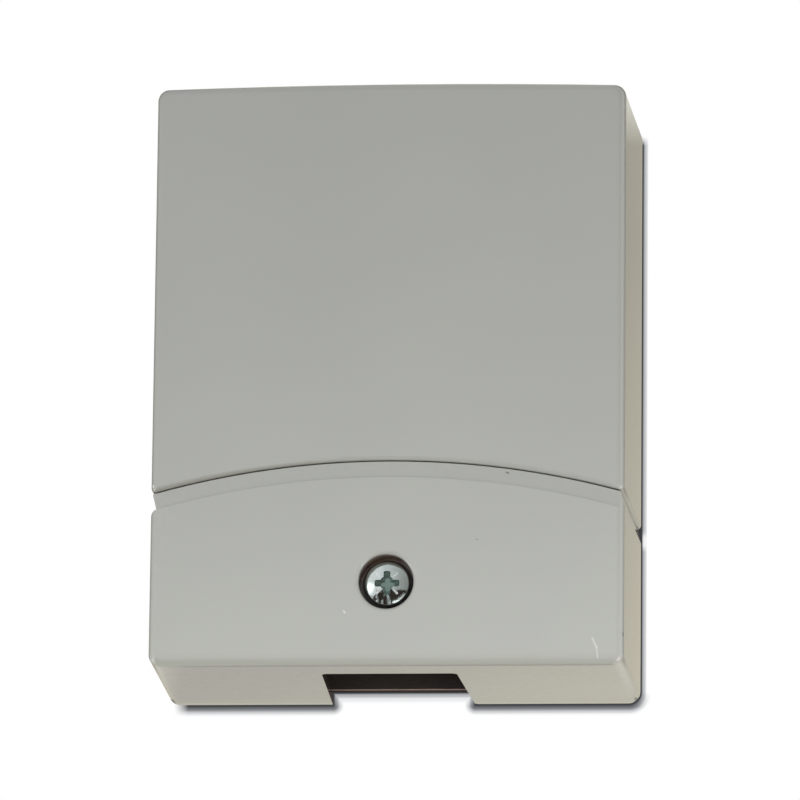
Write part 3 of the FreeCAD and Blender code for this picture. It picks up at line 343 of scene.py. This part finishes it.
# %% Enamel
enamel = finish("enamel_light_grey", linear(172, 173, 167), linear(175, 176, 169), 0.35, 0.04,
                coat=1.0, coat_roughness=0.05,
                skin={"Ripple_Scale": 220.0, "Grain_Scale": 2600.0, "Grain_Share": 0.12, "Patch_Scale": 24.0},
                bump=0.03, worn=linear(190, 190, 184), worn_amount=0.3)
dress(enamel, "upper_cover", "lower_cover")
print("enamel nodes:", len(enamel.node_tree.nodes))

# %% [markdown]
# ## Places on the covers
#
# What comes next lies at fixed places: in the screw's well, along the joint, in the cable
# cut-out and along the edges. The places are read from the solids where their boxes give
# them. The radii of the joint and of the screw's domed head repeat the solids' own sizes.

# %% Measured places
screw_low, screw_high = (Vector(corner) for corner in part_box("cover_screw"))
washer_low, washer_high = (Vector(corner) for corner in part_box("captive_washer"))
plate_low_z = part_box("base_plate")[0][2]
screw_x = (screw_low.x + screw_high.x) / 2
screw_z = (screw_low.z + screw_high.z) / 2
front_y = solid_box[0][1]
half_width = solid_box[1][0]
half_height = solid_box[1][2]
well_radius = (washer_high.x - washer_low.x) / 2 + 0.0003
dome_radius = 0.013
seam_radius = 0.145
seam_centre_z = -0.015 - seam_radius
cut_half_width = 0.0121
cut_top_z = -0.044
notch_z = -0.0222
print("well radius in mm:", round(well_radius * 1000, 2), "joint radius in mm:", seam_radius * 1000)

# %% [markdown]
# ## Painted shade and a painted highlight
#
# The wall of the screw's well is painted dark, lighter towards the top: painted shade in the
# narrow gap around the screw's head. The sides of the cable cut-out are painted dark as well,
# as painted shade. The pale strip before the rear edge is a painted highlight. Each of these is
# a mask worked out from coordinates, laid over the enamel's colour, so the covers keep one
# material and one slot.

# %% Painted shade and highlight
rear_start_y = -0.0024


def well_painted_shade(tree, spot, paint):
    """Painted shade on the wall of the screw's well, darker low down."""
    across = maths(tree, "SUBTRACT", spot["X"], screw_x)
    height = maths(tree, "SUBTRACT", spot["Z"], screw_z)
    inside = maths(tree, "LESS_THAN", length(tree, across, height), well_radius + 0.00035)
    deep = fade(tree, spot["Y"], front_y + 0.0002, front_y + 0.0026)
    wall = mix(tree, fade(tree, height, -0.003, 0.004), linear(52, 44, 38), linear(142, 118, 100))
    return mix(tree, product(tree, inside, deep), paint, wall)


def rear_painted_highlight(tree, spot, paint):
    """A painted highlight: the paler strip before the back."""
    rear = fade(tree, spot["Y"], rear_start_y, -0.0010)
    return mix(tree, product(tree, rear, 0.35), paint, linear(224, 222, 210))


def cut_sides_painted_shade(tree, spot, paint):
    """Painted shade on the sides of the cable cut-out: faces that look sideways inside its outline."""
    normal = add(tree, "ShaderNodeTexCoord").outputs["Normal"]
    sideways = add(tree, "ShaderNodeSeparateXYZ", {"Vector": normal}).outputs["X"]
    turned = maths(tree, "GREATER_THAN", maths(tree, "ABSOLUTE", sideways), 0.6)
    beside = maths(tree, "LESS_THAN", maths(tree, "ABSOLUTE", spot["X"]), cut_half_width + 0.0005)
    low = maths(tree, "LESS_THAN", spot["Z"], cut_top_z)
    return mix(tree, product(tree, turned, beside, low), paint, linear(62, 53, 47))


print("the rear edge is paler over its last mm:", round(-rear_start_y * 1000, 1))

# %% [markdown]
# ## Painted shade along the joint and the foot
#
# Painted shade lies in the curved joint, most at its left end, and at the foot of the front.
# The joint is an arc, so the distance to the arc's middle tells how far a point lies above it.

# %% Painted shade in the joint and at the foot
def joint_painted_shade(tree, spot, paint):
    """Painted shade: a thin dark line on the upper cover along the curved joint, wider towards the left."""
    rise = maths(tree, "SUBTRACT", spot["Z"], seam_centre_z)
    above = maths(tree, "SUBTRACT", length(tree, spot["X"], rise), seam_radius)
    width = add(tree, "ShaderNodeMapRange", {
        "Value": spot["X"], "From Min": 0.0, "From Max": -0.039, "To Min": 0.0003, "To Max": 0.0011})
    share = maths(tree, "DIVIDE", above, width.outputs["Result"])
    near = maths(tree, "SUBTRACT", 1.0, share, clamp=True)
    outside = maths(tree, "GREATER_THAN", above, 0.0)
    return mix(tree, product(tree, near, outside, 0.55), paint, linear(110, 102, 88))


def foot_painted_shade(tree, spot, paint):
    """Painted shade: a faint dull strip on the front, just above its bottom edge."""
    low = fade(tree, spot["Z"], -0.0470, -0.0492)
    on_front = fade(tree, spot["Y"], front_y + 0.0012, front_y + 0.0008)
    return mix(tree, product(tree, low, on_front, 0.4), paint, linear(150, 149, 136))


layers = (well_painted_shade, joint_painted_shade, rear_painted_highlight, cut_sides_painted_shade, foot_painted_shade)
print("layers over the enamel:", [layer.__name__ for layer in layers])

# %% [markdown]
# ## Marks from handling, and painted glints
#
# A few scratches and specks, and two painted glints, have their own places, so they are drawn
# as short lines between two points and not as noise. One group draws a line: it measures how
# far a point lies from the nearest point of the line. A speck is a line that is hardly longer
# than wide.

# %% Group: one mark
def build_mark():
    """A line between two points: full on the line, faded out at a width from it."""
    tree, given, out = new_group("one_mark", [
        ("Start", VECTOR, (0.0, 0.0, 0.0)), ("End", VECTOR, (0.0, 0.0, 0.0)),
        ("Width", FLOAT, 0.0001), ("Amount", FLOAT, 1.0),
    ], [("Mask", FLOAT)])

    def vector(operation, first, second):
        return add(tree, "ShaderNodeVectorMath", {0: first, 1: second}, operation=operation).outputs

    along = vector("SUBTRACT", given["End"], given["Start"])[0]
    offset = vector("SUBTRACT", object_place(tree), given["Start"])[0]
    reach = maths(tree, "DIVIDE", vector("DOT_PRODUCT", offset, along)["Value"],
                  vector("DOT_PRODUCT", along, along)["Value"], clamp=True)
    foot = add(tree, "ShaderNodeVectorMath", {0: along, "Scale": reach}, operation="SCALE").outputs[0]
    away = vector("DISTANCE", offset, foot)["Value"]
    near = fade(tree, away, given["Width"], 0.0)
    tree.links.new(product(tree, near, given["Amount"]), out["Mask"])
    return tree


mark_group = build_mark()


def mark(tree, start, end, width, amount):
    """Places one mark between two points and returns its mask."""
    node = add(tree, "ShaderNodeGroup", node_tree=mark_group)
    for name, value in (("Start", start), ("End", end), ("Width", width), ("Amount", amount)):
        node.inputs[name].default_value = value
    return node.outputs["Mask"]


print("sockets of a mark:", [item.name for item in mark_group.interface.items_tree])

# %% Marks on the covers
pale, dark, painted_glint = linear(226, 226, 222), linear(70, 66, 60), linear(255, 255, 255)
# Each mark: start and end as X and Z, depth behind the front, width, amount, colour.
cover_marks_and_glints = (
    ((0.0341, -0.0449), (0.0348, -0.0464), 0.0, 0.00026, 0.5, pale),
    ((0.0348, -0.0464), (0.0350, -0.0481), 0.0, 0.00020, 0.45, pale),
    ((-0.0069, -0.0402), (-0.0067, -0.0405), 0.0, 0.00020, 0.8, pale),
    ((0.0198, -0.0171), (0.0201, -0.0172), 0.0004, 0.00022, 1.0, dark),
    ((0.0149, -0.0283), (0.0151, -0.0284), 0.0, 0.00020, 0.4, dark),
    # The two white marks at the left end of the joint are painted glints.
    ((-0.0389, -0.0190), (-0.0389, -0.0191), 0.0003, 0.00030, 1.0, painted_glint),
    ((-0.0384, -0.0223), (-0.0384, -0.0224), 0.0012, 0.00060, 1.0, painted_glint),
    ((0.0393, -0.0441), (0.0393, -0.0442), 0.0006, 0.00045, 1.0, dark),
)


def wear_and_painted_light(material):
    """Lays the painted shade and highlight, then the marks and painted glints, over a finish."""
    tree, shader, paint = painted(material)
    spot = coordinates(tree)
    for layer in layers:
        paint = layer(tree, spot, paint)
    for start, end, depth, width, amount, colour in cover_marks_and_glints:
        y = front_y + depth
        mask = mark(tree, (start[0], y, start[1]), (end[0], y, end[1]), width, amount)
        paint = mix(tree, mask, paint, colour)
    tree.links.new(paint, shader.inputs["Base Color"])


wear_and_painted_light(enamel)
print("marks on the covers:", len(cover_marks_and_glints))

# %% [markdown]
# ## The base plate
#
# The plate is a casting under a thin dark coating, rougher than the covers because nobody
# sees it once the detector hangs. Its edges are trimmed to fit into the covers. Through the
# cable cut-out its lower edge shows a thin reddish grey line, a painted highlight.

# %% Casting
casting = finish("dark_casting", linear(50, 42, 38), linear(60, 50, 45), 0.45, 0.12, metallic=0.2,
                 skin={"Ripple_Scale": 700.0, "Grain_Scale": 4200.0, "Grain_Share": 0.5, "Patch_Scale": 60.0},
                 bump=0.25, worn=linear(96, 80, 72), worn_amount=0.2, specks=0.3)


def plate_edge_highlight(material):
    """Paints a thin reddish grey highlight on the plate's lower front edge, with a slightly uneven limit."""
    tree, shader, paint = painted(material)
    spot = coordinates(tree)
    uneven = product(tree, noise(tree, object_place(tree), 350.0, 2.0), 0.0001)
    height = maths(tree, "ADD", spot["Z"], uneven)
    low = fade(tree, height, plate_low_z + 0.0002, plate_low_z + 0.0001)
    forward = fade(tree, spot["Y"], -0.0014, -0.0019)
    paint = mix(tree, product(tree, low, forward, 0.9), paint, linear(176, 150, 140))
    tree.links.new(paint, shader.inputs["Base Color"])


plate_edge_highlight(casting)
dress(casting, "base_plate")
print("lower edge of the plate at z in mm:", round(plate_low_z * 1000, 2))

# %% [markdown]
# ## The cover screw
#
# The screw is zinc plated and mirrors almost like chrome. The cross in its domed head is
# stamped, so its floor keeps the greenish tone of the plating bath and mirrors less. Four
# ticks are struck between the arms of the cross. The recess is told from the dome by depth:
# a point counts as deep when it lies behind the ball that the dome is a part of.

# %% Plating
plating = finish("bright_zinc", linear(206, 213, 209), linear(190, 199, 196), 0.04, 0.03, metallic=1.0,
                 skin={"Ripple_Scale": 900.0, "Grain_Scale": 6000.0, "Grain_Share": 0.4,
                       "Patch_Scale": 260.0},
                 bump=0.04, scratches=0.25, specks=0.3)
recess_reach = 0.0026
tick_start, tick_end = 0.0015, 0.0023
tick_width = 0.0003
tick_depth = 0.00025


def recess(tree):
    """The mask of the stamped cross in the screw's head."""
    spot = coordinates(tree)
    radius = length(tree, maths(tree, "SUBTRACT", spot["X"], screw_x),
                    maths(tree, "SUBTRACT", spot["Z"], screw_z))
    dome = maths(tree, "DIVIDE", product(tree, radius, radius), 2 * dome_radius)
    depth = maths(tree, "SUBTRACT", maths(tree, "SUBTRACT", spot["Y"], screw_low.y), dome)
    inside = maths(tree, "LESS_THAN", radius, recess_reach)
    return product(tree, fade(tree, depth, 0.0002, 0.0004), inside)


def stamp(material):
    """Adds the greenish recess of the screw's head, and paints the four ticks around it near white as glints.
    """
    tree, shader, paint = painted(material)
    rough = shader.inputs["Roughness"].links[0].from_socket
    deep = recess(tree)
    paint = mix(tree, deep, paint, linear(126, 146, 138))
    mirror = maths(tree, "SUBTRACT", 1.0, product(tree, deep, 0.6))
    for degrees in (45, 135, 225, 315):
        across, rise = math.cos(math.radians(degrees)), math.sin(math.radians(degrees))
        start, end = ((screw_x + across * reach, screw_low.y + tick_depth, screw_z + rise * reach)
                      for reach in (tick_start, tick_end))
        # Each tick is painted near white: a painted glint.
        tick = mark(tree, start, end, tick_width, 1.6)
        paint = mix(tree, maths(tree, "MINIMUM", tick, 1.0), paint, linear(250, 252, 252))
        rough = maths(tree, "ADD", rough, product(tree, tick, 0.3))
    for name, value in (("Base Color", paint), ("Roughness", rough), ("Metallic", mirror)):
        tree.links.new(value, shader.inputs[name])


stamp(plating)
dress(plating, "cover_screw")
print("recess within mm:", recess_reach * 1000)

# %% [markdown]
# ## Other metals
#
# The remaining screws and the terminals' cages are plain zinc plated steel, duller than the
# cover screw. The springs are bare wire. The sensor's cup and the crystal's can are turned or
# drawn and left as they are. The pillar and the seismic mass are brass, which turns easily.

# %% Zinc, wire, turned metal and brass
zinc = finish("zinc_steel", linear(182, 184, 180), linear(160, 162, 158), 0.28, 0.14, metallic=1.0, bump=0.12)
spring_wire = finish("spring_wire", linear(150, 150, 150), linear(120, 120, 122), 0.3, 0.1, metallic=1.0)
turned = finish("turned_metal", linear(205, 207, 210), linear(188, 190, 194), 0.25, 0.1, metallic=1.0)
brass = finish("satin_brass", linear(206, 172, 104), linear(188, 150, 84), 0.28, 0.12, metallic=1.0,
               worn=linear(226, 198, 140), worn_amount=0.4)
dress(zinc, "upper_cover_screws", "board_screws", "sensor_bolt", "terminal_cages", "terminal_screws",
      "clamp_screws")
dress(spring_wire, "cover_spring", "wall_spring")
dress(turned, "sensor_cup", "crystal")
dress(brass, "cover_pillar", "seismic_mass")
print("metals:", [metal.name for metal in (casting, plating, zinc, spring_wire, turned, brass)])

# %% [markdown]
# ## Plastics and the board
#
# Most small parts are moulded, each trade in its own colour: black for clamps and plungers,
# green for terminals, dark blue sleeves for capacitors. Mould surfaces are lightly grained,
# sleeves and insulation are smoother. The board has a glossy green solder mask.

# %% Finishes of the plastics and the board
black = finish("black_moulding", linear(34, 30, 29), linear(42, 38, 36), 0.45, 0.15, bump=0.12,
               worn=linear(84, 80, 78), worn_amount=0.3)
ceramic = finish("fired_ceramic", linear(226, 220, 204), linear(212, 204, 186), 0.35, 0.1, bump=0.1)
board = finish("solder_mask", linear(28, 84, 48), linear(22, 70, 42), 0.22, 0.1, coat=0.3, bump=0.08)
terminal = finish("terminal_moulding", linear(58, 128, 88), linear(50, 116, 80), 0.4, 0.1, bump=0.08)
relay = finish("relay_case", linear(66, 74, 92), linear(58, 66, 84), 0.42, 0.1, bump=0.1)
epoxy = finish("chip_epoxy", linear(30, 30, 32), linear(38, 38, 40), 0.55, 0.1, bump=0.2)
sleeve = finish("capacitor_sleeve", linear(28, 40, 74), linear(24, 34, 64), 0.25, 0.08, bump=0.05)
lens = finish("red_lens", linear(190, 34, 28), linear(176, 28, 24), 0.12, 0.05, bump=0.02)
link = finish("blue_moulding", linear(36, 76, 160), linear(30, 66, 146), 0.4, 0.1, bump=0.08)
switch = finish("switch_case", linear(92, 92, 92), linear(80, 80, 80), 0.45, 0.1, bump=0.1)
wire = finish("red_insulation", linear(176, 38, 32), linear(160, 32, 28), 0.3, 0.08, bump=0.04)
dress(black, "captive_washer", "sensor_cap", "jumper_header", "cover_plunger", "wall_plunger", "wall_cap",
      "cable_clamp")
dress(ceramic, "piezo_ring")
dress(board, "circuit_board")
dress(terminal, "terminal_block_left", "terminal_block_right")
dress(relay, "relay")
dress(epoxy, "controller_chip", "amplifier_chip", "surge_suppressors")
dress(sleeve, "capacitors")
dress(lens, "status_led")
dress(link, "jumper_links")
dress(switch, "cover_switch", "wall_switch")
dress(wire, "sensor_wires")
print("materials:", len(bpy.data.materials))

# %% [markdown]
# ## Planes that belong to the studio
#
# The white surface and the cards around the detector are flat planes of light. None of them
# is a part of the detector, and each is seen by one kind of ray alone. A plane's light is one
# colour, or follows from where a point lies on it.

# %% Helpers for the studio
def flat_panel(name, width, height, place=(0.0, 0.0, 0.0)):
    """A plane that faces forwards."""
    mesh = bpy.data.meshes.new(name)
    x, z = width / 2, height / 2
    mesh.from_pydata([(-x, 0.0, -z), (x, 0.0, -z), (x, 0.0, z), (-x, 0.0, z)], [], [(0, 1, 2, 3)])
    panel = bpy.data.objects.new(name, mesh)
    panel.location = place
    bpy.context.scene.collection.objects.link(panel)
    return panel


def seen_only_by(panel, kept_ray):
    """Leaves an object visible to one kind of ray alone."""
    for ray in ("camera", "diffuse", "glossy", "transmission", "volume_scatter", "shadow"):
        setattr(panel, "visible_" + ray, ray == kept_ray)


def glow(panel, colour):
    """Gives a panel light of one colour, or of the colour that a function makes of a place."""
    material = bpy.data.materials.new(panel.name)
    material.use_nodes = True
    tree = material.node_tree
    tree.nodes.remove(tree.nodes["Principled BSDF"])
    if callable(colour):
        colour = colour(tree, coordinates(tree))
    light = add(tree, "ShaderNodeEmission", {"Color": colour, "Strength": 1.0})
    tree.links.new(light.outputs[0], tree.nodes["Material Output"].inputs["Surface"])
    panel.data.materials.append(material)
    return tree, light.outputs[0]


print("studio helpers ready")

# %% [markdown]
# ## The shadow on the white surface
#
# The detector lies with its back on a white surface, which only the camera sees and only from
# the front, so it neither darkens the detector's back nor hides it when the camera goes
# round. The shadow at the foot of the walls is a painted shadow, and narrow. It depends on how
# far a point lies outside the detector's foot, so the distance to a rounded box gives it, and
# the cable cut-out is taken out of that box. It starts almost black at the wall and ends after
# one millimetre at the right and after two at the bottom. Beside the open end of the joint at
# the right the painted shadow is made lighter.

# %% Distances on the surface
foot_corner = 0.002


def outside_distance(tree, spot, corner):
    """How far a point lies outside the detector's rounded outline."""
    beyond = []
    for axis, half in (("X", half_width), ("Z", half_height)):
        past = maths(tree, "SUBTRACT", maths(tree, "ABSOLUTE", spot[axis]), half - corner)
        beyond.append(maths(tree, "MAXIMUM", past, 0.0))
    return maths(tree, "SUBTRACT", length(tree, *beyond), corner)


def cut_distance(tree, spot):
    """How far a point in the cable cut-out lies from its sides and the plate, and its mask."""
    sideways = maths(tree, "SUBTRACT", cut_half_width, maths(tree, "ABSOLUTE", spot["X"]))
    below = maths(tree, "MAXIMUM", maths(tree, "SUBTRACT", -half_height, spot["Z"]), 0.0)
    to_plate = maths(tree, "SUBTRACT", plate_low_z, spot["Z"])
    inside = product(tree, maths(tree, "GREATER_THAN", sideways, 0.0),
                     maths(tree, "GREATER_THAN", to_plate, 0.0))
    return maths(tree, "MINIMUM", length(tree, sideways, below), to_plate), inside


def shadow_ramp(tree, distance, stops):
    """A warm grey that changes with the distance; a stop is millimetres and a brightness."""
    longest = stops[-1][0]
    share = maths(tree, "DIVIDE", distance, longest / 1000, clamp=True)
    ramp = add(tree, "ShaderNodeValToRGB", {"Fac": share})
    points = ramp.color_ramp.elements
    points.remove(points[1])
    for millimetres, grey in stops:
        first = millimetres == stops[0][0]
        point = points[0] if first else points.new(millimetres / longest)
        point.position = millimetres / longest
        tint = grey * (1 - grey)
        point.color = (grey - 0.03 * tint, grey, grey + 0.07 * tint, 1.0)
    return ramp.outputs[0]


print("foot of the detector in mm:", round(half_width * 2000, 1), "by", round(half_height * 2000, 1))

# %% White surface
right_stops = [
    (0.15, 0.047), (0.20, 0.15), (0.24, 0.21), (0.38, 0.41), (0.54, 0.53), (0.71, 0.60), (0.88, 0.74),
    (0.98, 0.93), (1.05, 1.0), (2.2, 1.0)]
bottom_stops = [
    (0.28, 0.063), (0.43, 0.133), (0.60, 0.178), (0.77, 0.227), (0.95, 0.352), (1.12, 0.509), (1.29, 0.651),
    (1.46, 0.716), (1.63, 0.871), (1.8, 0.947), (2.0, 1.0), (2.2, 1.0)]


def surface_colour(tree, spot):
    """White, with the narrow painted shadow to the right of and below the detector."""
    in_cut, inside = cut_distance(tree, spot)
    around = outside_distance(tree, spot, foot_corner)
    distance = add(tree, "ShaderNodeMix", {0: inside, 2: around, 3: in_cut}).outputs[0]
    right = shadow_ramp(tree, distance, right_stops)
    from_notch = maths(tree, "ABSOLUTE", maths(tree, "SUBTRACT", spot["Z"], notch_z))
    beside_notch = fade(tree, from_notch, 0.0018, 0.0006)
    off_wall = fade(tree, distance, 0.00015, 0.0004)
    right = mix(tree, product(tree, beside_notch, off_wall, 0.7), right, WHITE)
    below = shadow_ramp(tree, distance, bottom_stops)
    under = fade(tree, spot["Z"], -half_height + 0.002, -half_height - 0.0005)
    shade = mix(tree, under, right, below)
    from_left = fade(tree, spot["X"], -half_width + 0.0008, -half_width + 0.0032)
    from_top = fade(tree, spot["Z"], half_height - 0.0016, half_height - 0.0032)
    return mix(tree, product(tree, from_left, from_top), WHITE, shade)


white_surface = flat_panel("white_surface", 4.0, 4.0, (0.0, 0.0002, 0.0))
seen_only_by(white_surface, "camera")
tree, shine = glow(white_surface, surface_colour)
behind = add(tree, "ShaderNodeNewGeometry").outputs["Backfacing"]
clear = add(tree, "ShaderNodeBsdfTransparent").outputs[0]
sides = add(tree, "ShaderNodeMixShader", {0: behind, 1: shine, 2: clear})
tree.links.new(sides.outputs[0], tree.nodes["Material Output"].inputs["Surface"])
print("surface normal:", tuple(round(value) for value in white_surface.data.polygons[0].normal))

# %% [markdown]
# ## What the walls mirror
#
# A glossy wall mirrors the surface that it stands on, at a grazing angle and therefore
# strongly. On a table that is a warm grey. A card that lies flat behind the detector does the
# same here, and only reflections see it. It is darker further off, which gives the rounded
# edges their darker lines, and dark under the detector, where no light gets in.

# %% Warm card
def warm_colour(tree, spot):
    """Warm grey beside and below the detector, pale above it, dark under it and further away."""
    up = fade(tree, spot["Z"], -0.045, 0.03)
    beside = mix(tree, up, (0.57, 0.53, 0.42, 1.0), (0.41, 0.385, 0.31, 1.0))
    along = fade(tree, spot["X"], -half_width, half_width)
    at_foot = mix(tree, along, (0.46, 0.435, 0.375, 1.0), (0.64, 0.60, 0.49, 1.0))
    colour = mix(tree, fade(tree, spot["Z"], -0.0495, -0.0515), beside, at_foot)
    colour = mix(tree, fade(tree, spot["Z"], 0.047, 0.054), colour, (0.78, 0.77, 0.68, 1.0))
    aside = maths(tree, "SUBTRACT", maths(tree, "ABSOLUTE", spot["X"]), half_width)
    below = maths(tree, "SUBTRACT", -half_height, spot["Z"])
    far = maths(tree, "MAXIMUM", fade(tree, aside, 0.0050, 0.0075), fade(tree, below, 0.0078, 0.0110))
    colour = mix(tree, far, colour, (0.13, 0.11, 0.09, 1.0))
    corner = product(tree, fade(tree, aside, -0.002, 0.004), fade(tree, below, -0.002, 0.004))
    colour = mix(tree, corner, colour, (0.72, 0.69, 0.60, 1.0))
    within = product(tree, maths(tree, "LESS_THAN", aside, 0.0),
                     maths(tree, "LESS_THAN", maths(tree, "ABSOLUTE", spot["Z"]), half_height))
    return mix(tree, within, colour, (0.06, 0.05, 0.045, 1.0))


warm_card = flat_panel("warm_card", 1.2, 1.2, (0.0, 0.0006, 0.0))
glow(warm_card, warm_colour)
seen_only_by(warm_card, "glossy")
print("warm card behind the detector by mm:", round(warm_card.location.y * 1000, 1))

# %% [markdown]
# ## What the screw mirrors
#
# A domed head mirrors almost the whole studio, so it needs something to show. Photographers
# put cards around a glossy object for that. These stand in front: light to grey above, dark
# with slanting streaks below, one bright patch at the left and a bent card whose mirror image
# is the thin crescent at the lower right. One more card at the lower left makes the bright
# line on the well's lip. None of them is much brighter than white, because a flat wall
# mirrors a card whole from some side and would turn white there.

# %% Patterns for the cards
def across_card(tree, spot, width):
    """From 0 at a card's left end to 1 at its middle and beyond."""
    return fade(tree, spot["X"], -width / 2, 0.0)


def round_patch(tree, spot, width):
    """From 0 in a card's middle to 1 at its rim, all around."""
    return fade(tree, length(tree, spot["X"], spot["Z"]), 0.0, width / 2)


def streaks(tree, spot, width):
    """Slanting streaks, dense at a card's left end and rare at its right end."""
    laid = add(tree, "ShaderNodeMapping", {
        "Vector": object_place(tree), "Scale": (13.0, 1.0, 4.0), "Rotation": (0.0, 0.6, 0.0)})
    rare = product(tree, across_card(tree, spot, width), 0.16)
    return fade(tree, maths(tree, "SUBTRACT", noise(tree, laid.outputs[0], 1.0, 3.0), rare), 0.47, 0.53)


print("patterns:", [pattern.__name__ for pattern in (across_card, round_patch, streaks)])

# %% Cards in front
def card(name, width, height, place, first, second=None, pattern=across_card, turn=0.0):
    """A card that only reflections see, of one colour or of two that a pattern mixes."""
    def colour(tree, spot):
        return mix(tree, pattern(tree, spot, width), first, second)
    panel = flat_panel(name, width, height, place)
    panel.rotation_euler.x = math.radians(turn)
    glow(panel, colour if second else first)
    seen_only_by(panel, "glossy")


def bent_card(name, middle, inner, outer, angles, colour, steps=8):
    """A card cut as a piece of a ring around a middle, between two radii and two angles."""
    panel = flat_panel(name, 1.0, 1.0, middle)
    points, faces = [], []
    for step in range(steps + 1):
        angle = math.radians(angles[0] + (angles[1] - angles[0]) * step / steps)
        for radius in (inner, outer):
            points.append((radius * math.cos(angle), 0.0, radius * math.sin(angle)))
        if step:
            corner = 2 * step - 2
            faces.append((corner, corner + 1, corner + 3, corner + 2))
    panel.data.clear_geometry()
    panel.data.from_pydata(points, [], faces)
    glow(panel, colour)
    seen_only_by(panel, "glossy")


brown, grey, light = (0.045, 0.035, 0.03, 1.0), (0.31, 0.315, 0.305, 1.0), (0.90, 0.93, 0.95, 1.0)
bright, brighter = (2.2, 2.2, 2.2, 1.0), (2.6, 2.6, 2.6, 1.0)
card("floor_card", 1.0, 1.0, (0.0, -0.52, -0.40), brown, turn=-90.0)
card("dark_card", 1.9, 0.6, (0.30, -0.92, -0.33), brown, light, streaks)
card("grey_card", 1.3, 1.0, (0.42, -0.92, 0.47), light, grey)
card("white_card", 0.36, 0.36, (-0.52, -0.86, 0.03), brighter, light, round_patch)
card("low_left_card", 0.36, 0.36, (-0.62, -0.50, -0.20), brighter)
bent_card("low_right_card", (-0.084, -0.90, 0.163), 0.47, 0.72, (-74, -34), bright)

# %% [markdown]
# ## Soft studio light
#
# The light is plain and soft: an even white world, a large box far in front, a wide strip close
# in front of the lower half that makes it a little lighter than the upper half, and two smaller
# boxes low at the left and the right. Reflections don't show the front box and the strip, so that
# the cards alone shape them. What the camera, the reflections and clear parts see of the world is
# pure white.

# %% World
world_level = 0.50


def build_world(level):
    """White for the camera and for reflections, and an even light of the given level."""
    world = bpy.data.worlds.new("studio")
    world.use_nodes = True
    tree = world.node_tree
    path = add(tree, "ShaderNodeLightPath").outputs
    direct = maths(tree, "MAXIMUM", path["Is Camera Ray"], path["Is Glossy Ray"])
    seen = maths(tree, "MAXIMUM", direct, path["Is Transmission Ray"])
    strength = maths(tree, "ADD", product(tree, seen, 1.0 - level), level)
    tree.nodes["Background"].inputs["Color"].default_value = WHITE
    tree.links.new(strength, tree.nodes["Background"].inputs["Strength"])
    bpy.context.scene.world = world


build_world(world_level)
print("world:", bpy.context.scene.world.name, "at", world_level)

# %% Lamps
def soft_box(name, place, aim, width, height, radiance, mirrored=True):
    """A soft rectangular lamp of a given brightness that looks at a point, unseen by the camera."""
    data = bpy.data.lights.new(name, "AREA")
    data.shape = "RECTANGLE"
    data.size = width
    data.size_y = height
    data.energy = radiance * math.pi * width * height
    lamp = bpy.data.objects.new(name, data)
    lamp.location = place
    lamp.rotation_euler = (Vector(aim) - Vector(place)).to_track_quat("-Z", "Y").to_euler()
    lamp.visible_camera = False
    lamp.visible_glossy = mirrored
    bpy.context.scene.collection.objects.link(lamp)


soft_box("front_box", (0.0, -0.90, 0.0), (0.0, 0.0, 0.0), 0.40, 0.40, 2.7, mirrored=False)
soft_box("strip_box", (0.30, -0.096, -0.068), (0.30, 0.0, -0.068), 0.72, 0.06, 0.90, mirrored=False)
soft_box("left_box", (-0.34, -0.05, -0.24), (0.0, 0.0, 0.0), 0.20, 0.20, 3.0)
soft_box("right_box", (0.30, -0.09, -0.27), (0.0, 0.0, 0.0), 0.20, 0.20, 3.0)
print("lamps:", [lamp.name for lamp in bpy.data.lights])

# %% [markdown]
# ## The camera
#
# The photograph looks at the front from slightly right of the middle and from below. The
# distance, the direction and the aim come from the measured outline of the detector in it.
# The lens follows from the scale: so many pixels for a millimetre at the aim.

# %% Camera
picture_width = 800


def build_camera(azimuth, elevation, roll, distance, scale, aim):
    """A camera at a distance from the aim, whose lens gives so many pixels for a millimetre there."""
    a, e, r = (math.radians(value) for value in (azimuth, elevation, roll))
    right = Vector((math.cos(a), math.sin(a), 0.0))
    back = Vector((math.sin(a) * math.cos(e), -math.cos(a) * math.cos(e), math.sin(e)))
    up = back.cross(right)
    turned_right = right * math.cos(r) + up * math.sin(r)
    turned_up = up * math.cos(r) - right * math.sin(r)
    data = bpy.data.cameras.new("camera")
    data.sensor_width = 36.0
    data.lens = scale * distance * 1000 / picture_width * data.sensor_width
    data.clip_start = 0.01
    data.clip_end = 20.0
    camera = bpy.data.objects.new("camera", data)
    axes = Matrix((turned_right, turned_up, back)).transposed().to_4x4()
    camera.matrix_world = Matrix.Translation(Vector(aim) + back * distance) @ axes
    bpy.context.scene.collection.objects.link(camera)
    bpy.context.scene.camera = camera
    return camera


camera = build_camera(azimuth=5.237, elevation=-11.586, roll=0.613, distance=1.2, scale=5.953,
                      aim=(0.000392, -0.018, -0.00112))
bpy.context.scene.view_settings.view_transform = "Standard"
print("lens:", round(camera.data.lens, 1), "mm")
